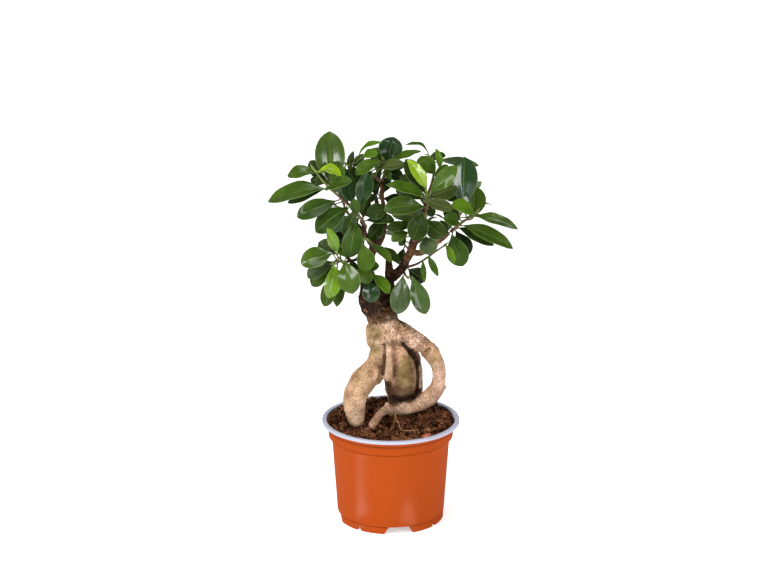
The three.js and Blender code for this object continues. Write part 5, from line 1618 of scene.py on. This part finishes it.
def blade_pattern(columns, rows):
    """A flat blade whose rows lie closer at its base and tip"""
    pattern = sheet_pattern("blade_pattern", columns, rows)
    flat = places(pattern) * MM
    part = (flat[:, 1] + 1) / 2
    part = 0.55 * part + 0.45 * (1 - np.cos(math.pi * part)) / 2
    flat[:, 1] = part
    set_places(pattern, flat / MM)
    marks = pattern.data.uv_layers["UVMap"].data
    for loop in pattern.data.loops:
        spot = flat[loop.vertex_index]
        marks[loop.index].uv = ((spot[0] + 1) / 2, spot[1])
    return pattern


def leaf_axes(leaf):
    """The ways along a leaf, to its side and out of its upper face"""
    way = unit(leaf["tip"] - leaf["base"])
    side = unit(np.cross(way, leaf["facing"]))
    return way, side, unit(np.cross(side, way))


def blade(pattern, leaf, settings, random):
    """The flat blade, widened, arched, folded along its midrib and given its own waves"""
    base, tip, width = leaf["base"], leaf["tip"], leaf["width"]
    side, upper = leaf_axes(leaf)[1:]
    flat = places(pattern) * MM
    off, part = flat[:, 0], flat[:, 1]
    length = np.linalg.norm(tip - base)
    halves = SLENDER if length > 2.3 * width else BROAD
    half = np.interp(part, *halves) * width / 2
    sway = (next(random) - 0.5) * 0.1 * width * np.sin(math.pi * part)
    beat = 2 * math.pi * (1.6 + 0.8 * next(random))
    shift = 6 * next(random)
    wave = settings.wave / MM * off ** 2 * np.sin(beat * part + shift + np.sign(off) * 0.9)
    wave *= np.minimum(1, half / 4)
    rise = 4 * leaf["arch"] * part * (1 - part)
    fold = settings.fold * (1 + 0.25 * leaf["polish"]) * (1.5 - part)
    rise += fold * half * (np.abs(off) ** 1.15 * 1.1 - 0.25 * np.abs(off) ** 3)
    rise -= 0.035 * length * smoothed((part - 0.8) / 0.2) * (0.3 + next(random))
    where = base + (tip - base) * part[:, None]
    where = where + side * (off * half + sway)[:, None] + upper * (rise + wave)[:, None]
    made = copy_of(pattern, "blade")
    set_places(made, where)
    tone = np.array(TONES[leaf["tone"]]) * (0.9 + 0.2 * next(random))
    paint_all(made, "tint", tone)
    paint_all(made, "rib", 0.15 + 0.5 * next(random))
    paint_all(made, "sheen", next(random))
    paint_all(made, "polish", leaf["polish"])
    return made


def stalk(pattern, leaf, root, settings):
    """The leaf's stalk, from inside the twig to under the blade's midrib"""
    base = leaf["base"]
    way, _, upper = leaf_axes(leaf)
    reach = unit(base - root)
    middle = (root + base) / 2 - SKY * 0.5
    line = SmoothLine([root - reach * 0.9, root, middle, base, base + way * 4 - upper * 0.35])
    parts, centres, ways = tube_line(line, STALK_ROWS - 1)
    width = np.interp(parts, (0, 0.25, 0.5, 0.8, 1), (0.85, 0.72, 0.6, 0.62, 0.3))
    made = tube(pattern, "stalk", centres, ways, upper + 0.01 * SKY, width)
    young = np.array(settings.stalk[:3])
    paint_all(made, "tint", young * 0.6 + np.array(TONES[leaf["tone"]]) * 0.6)
    return made


def stem(pattern, points, radius, settings, green_from, old):
    """A twig with low swellings along it, brown where it leaves the wood and green at its end"""
    parts, centres, ways = tube_line(seen_line(points), TWIG_ROWS - 1)
    swelling = 1 + 0.16 * np.sin(parts * math.pi * TWIG_SWELLINGS) ** 4
    width = radius * (0.86 - 0.36 * parts) * swelling
    made = tube(pattern, "stem", centres, ways, TWIG_FACING, width)
    flat = places(pattern) * MM
    age = smoothed(((flat[:, 1] + 1) / 2 - green_from) / 0.45)
    young = np.array(settings.stalk[:3])
    paint(made, "tint", old + (young - old) * age[:, None])
    return made


def bud(pattern, points, settings):
    """The pointed bud at a twig's end"""
    line = seen_line(points)
    start, way = line.at(1), line.way(0.98)
    parts = np.linspace(0, 1, BUD_ROWS + 1)
    width = 1.15 * np.interp(parts, (0, 0.12, 0.35, 0.7, 1), (0, 0.85, 1, 0.5, 0))
    centres = [start + way * (7 * part - 1) + SKY * 0.8 * part ** 2 for part in parts]
    made = tube(pattern, "bud", centres, [way] * len(parts), TWIG_FACING, width)
    paint_all(made, "tint", np.array(settings.stalk[:3]) * 1.25)
    return made


def build_leafy_stem(name, radius, points, leaves, patterns, settings, seed):
    """One grown piece: the blades, the twig, its bud and a stalk for every leaf"""
    random = random_numbers(seed)
    line = seen_line(points)
    blades = [blade(patterns["blade"], leaf, settings, random) for leaf in leaves]
    foliage = join(blades, "foliage")
    foliage.data.materials.append(bpy.data.materials["leaf_top"])
    foliage.data.materials.append(bpy.data.materials["leaf_under"])
    merge_doubles(foliage)
    apply_modifier(
        foliage, "SOLIDIFY", thickness=settings.thickness, offset=0, material_offset=1,
        use_quality_normals=True,
    )
    green_from = 1.5 if name in BROWN_TWIGS else 0.45
    old = np.array(BARK["rust"]) * (0.3 if name in DARK_TWIGS else 0.75)
    rods = [
        stem(patterns["stem"], points, radius, settings, green_from, old),
        bud(patterns["bud"], points, settings),
    ]
    for leaf in leaves:
        way = unit(leaf["tip"] - leaf["base"])
        root = line.nearest(leaf["base"] - way * STALK_LENGTH)
        rods.append(stalk(patterns["stalk"], leaf, root, settings))
    wood = join(rods, "rods")
    wood.data.materials.append(bpy.data.materials["green_stem"])
    merge_doubles(wood)
    piece = join([foliage, wood], "twig_" + name)
    smooth(piece, 50)
    mount(piece, "leaf", "leafy_stem_" + name)


def build_foliage(settings):
    blade_top(settings)
    blade_under(settings)
    green_stem()
    patterns = {
        "blade": blade_pattern(8, 14),
        "stalk": sheet_pattern("stalk_pattern", 6, STALK_ROWS),
        "stem": sheet_pattern("stem_pattern", 10, TWIG_ROWS),
        "bud": sheet_pattern("bud_pattern", 8, BUD_ROWS),
    }
    stems = []
    for name, (radius, points, rows) in FRONT_STEMS.items():
        stems.append((name, radius, points, [read_leaf(*row) for row in rows]))
    for name, (seed, count, turn, points) in BACK_STEMS.items():
        leaves = back_leaves(seed, count, turn, points)
        stems.append((name, BACK_STEM_RADIUS, points, leaves))
    for seed, stem_parts in enumerate(stems, LEAF_SEED):
        build_leafy_stem(*stem_parts, patterns, settings, seed)
    for pattern in patterns.values():
        bpy.data.objects.remove(pattern)


# Stage

CAMERA_TILT = 73.28
LENS = 100
SENSOR = 36

FLOOR_SIZE = 24
KEY_PLACE = (-0.635, -0.43, 0.64)
KEY_SPREAD = 24
TOP_PLACE = (-0.1, 0.1, 1.0)
TOP_SPREAD = 50

# Tall lit strips, as the angle where each stands and its share of the power
STRIPS = {"left_strip": (-48, 1), "right_strip": (42, 0.9)}
STRIP_REACH = 0.8
STRIP_FOOT = 0.03
STRIP_WIDTH = 0.13
STRIP_HEIGHT = 0.85

# A small lamp above the camera's line, which the leaves that face up mirror
BOX_PLACE = (-0.16, -0.56, 0.95)
BOX_AIM = (0, 0, 0.28)
BOX_WIDTH = 0.34
BOX_HEIGHT = 0.16

# Lamps on the floor, as a place and a turn, a length and a share of the power
STREAKS = {"left_streak": ((-87, -66), 22, 100, 1), "front_streak": ((32, -66), -50, 36, 0.25)}
STREAK_WIDTH = 22


def aimed(place, goal):
    """The turn that points a lamp from its place to a goal"""
    return (Vector(goal) - Vector(place)).to_track_quat("-Z", "Y").to_euler()


def new_lamp(name, kind, place, turn, power):
    """A lamp of one kind, with its turn and its power"""
    deselect()
    bpy.ops.object.light_add(type=kind, location=place)
    lamp = bpy.context.active_object
    lamp.name = name
    lamp.rotation_euler = turn
    lamp.data.energy = power
    return lamp


def area_lamp(name, place, turn, wide, high, power):
    """A lit rectangle"""
    lamp = new_lamp(name, "AREA", place, turn, power)
    lamp.data.shape = "RECTANGLE"
    lamp.data.size = wide
    lamp.data.size_y = high
    return lamp


def lit_strip(name, angle, power):
    """A tall narrow lamp near the plant, which glossy leaves mirror as a pale streak"""
    turn = math.radians(angle)
    x, y = STRIP_REACH * math.sin(turn), -STRIP_REACH * math.cos(turn)
    place = (x, y, STRIP_FOOT + STRIP_HEIGHT / 2)
    area_lamp(name, place, (math.radians(90), 0, turn), STRIP_WIDTH, STRIP_HEIGHT, power)


def floor_streak(name, place, angle, long, power):
    """A narrow lamp lying on the floor, which the pot mirrors as a soft upright streak"""
    turn = (math.radians(180), 0, math.radians(angle))
    spot = (place[0] * MM, place[1] * MM, MM)
    lamp = area_lamp(name, spot, turn, long * MM, STREAK_WIDTH * MM, power)
    lamp.visible_camera = False
    lamp.visible_diffuse = False


def soft_sun(name, place, spread, power):
    """Even light from a broad part of the sky, which shines from its place to the pot"""
    lamp = new_lamp(name, "SUN", place, aimed(place, (0, 0, 0)), power)
    lamp.data.angle = math.radians(spread)


def build_stage(settings):
    deselect()
    bpy.ops.mesh.primitive_plane_add(size=FLOOR_SIZE)
    floor = bpy.context.active_object
    floor.name = "floor"
    material, tree = new_material("floor_paint")
    marks = mottled(tree, 2.0, 300.0)
    darker = [part * 0.985 for part in settings.floor[:3]] + [1]
    base = blend(tree, marks["Patches"], tuple(settings.floor), tuple(darker))
    surface(
        material, base, 0.9, Emission_Color=(1, 1, 1, 1), Emission_Strength=settings.glow,
    )
    floor.data.materials.append(material)
    floor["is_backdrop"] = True
    world = bpy.data.worlds.new("studio")
    world.use_nodes = True
    sky = world.node_tree.nodes["Background"]
    sky.inputs["Color"].default_value = (1, 1, 1, 1)
    sky.inputs["Strength"].default_value = settings.sky
    bpy.context.scene.world = world
    soft_sun("key_light", KEY_PLACE, KEY_SPREAD, settings.key)
    soft_sun("top_light", TOP_PLACE, TOP_SPREAD, settings.top)
    for name, (angle, part) in STRIPS.items():
        lit_strip(name, angle, settings.strip * part)
    area_lamp(
        "high_box", BOX_PLACE, aimed(BOX_PLACE, BOX_AIM), BOX_WIDTH, BOX_HEIGHT, settings.box,
    )
    for name, (*lie, part) in STREAKS.items():
        floor_streak(name, *lie, settings.streak * part)
    deselect()
    bpy.ops.object.camera_add(
        location=tuple(EYE * MM), rotation=(math.radians(CAMERA_TILT), 0, 0),
    )
    camera = bpy.context.active_object
    camera.data.lens = LENS
    camera.data.sensor_width = SENSOR
    camera.data.sensor_fit = "HORIZONTAL"
    scene = bpy.context.scene
    scene.camera = camera
    scene.view_settings.view_transform = "Standard"


# Operators

class BuildPot(bpy.types.Operator):
    """Build the round nursery pot with its lip, bands, feet and drain holes"""

    bl_idname = "bonsai.build_pot"
    bl_label = "Build the pot"

    def execute(self, context):
        build_pot(context.scene.bonsai_pot)
        return {"FINISHED"}


class BuildSoil(bpy.types.Operator):
    """Build the peat filling with its crumbs and coir fibres"""

    bl_idname = "bonsai.build_soil"
    bl_label = "Build the soil"

    def execute(self, context):
        build_soil_bed(context.scene.bonsai_soil)
        build_soil_litter(context.scene.bonsai_soil)
        return {"FINISHED"}


class BuildTrunk(bpy.types.Operator):
    """Build the ginseng roots, the neck and the woody branches, with the fine root hairs"""

    bl_idname = "bonsai.build_trunk"
    bl_label = "Build the trunk"

    def execute(self, context):
        build_trunk(context.scene.bonsai_wood)
        build_root_hairs()
        return {"FINISHED"}


class BuildFoliage(bpy.types.Operator):
    """Build every leafy stem with its blades, stalks and bud"""

    bl_idname = "bonsai.build_foliage"
    bl_label = "Build the foliage"

    def execute(self, context):
        build_foliage(context.scene.bonsai_leaf)
        return {"FINISHED"}


class BuildStage(bpy.types.Operator):
    """Build the pale floor, the soft lights and the camera"""

    bl_idname = "bonsai.build_stage"
    bl_label = "Build the stage"

    def execute(self, context):
        build_stage(context.scene.bonsai_stage)
        return {"FINISHED"}


class BonsaiPanel(bpy.types.Panel):
    """Buttons and settings for the bonsai"""

    bl_idname = "VIEW3D_PT_bonsai"
    bl_label = "Bonsai"
    bl_space_type = "VIEW_3D"
    bl_region_type = "UI"
    bl_category = "Bonsai"

    def draw(self, context):
        for operator, group in STEPS:
            box = self.layout.box()
            box.operator(operator.bl_idname)
            settings = getattr(context.scene, group)
            for name in settings.__annotations__:
                box.prop(settings, name)


STEPS = (
    (BuildPot, "bonsai_pot"),
    (BuildSoil, "bonsai_soil"),
    (BuildTrunk, "bonsai_wood"),
    (BuildFoliage, "bonsai_leaf"),
    (BuildStage, "bonsai_stage"),
)
GROUPS = {
    "bonsai_pot": PotSettings,
    "bonsai_soil": SoilSettings,
    "bonsai_wood": WoodSettings,
    "bonsai_leaf": LeafSettings,
    "bonsai_stage": StageSettings,
}
CLASSES = (*GROUPS.values(), *(operator for operator, group in STEPS), BonsaiPanel)


def register():
    for made in CLASSES:
        bpy.utils.register_class(made)
    for name, group in GROUPS.items():
        setattr(bpy.types.Scene, name, PointerProperty(type=group))


def unregister():
    for name in GROUPS:
        delattr(bpy.types.Scene, name)
    for made in reversed(CLASSES):
        bpy.utils.unregister_class(made)


def main():
    register()
    bpy.ops.bonsai.build_pot()
    bpy.ops.bonsai.build_soil()
    bpy.ops.bonsai.build_trunk()
    bpy.ops.bonsai.build_foliage()
    bpy.ops.bonsai.build_stage()
    boxes = {"solids": SOLID_BOUNDS, "model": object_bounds()}
    plain = {name: [[float(part) for part in corner] for corner in box] for name, box in boxes.items()}


if __name__ == "__main__":
    main()
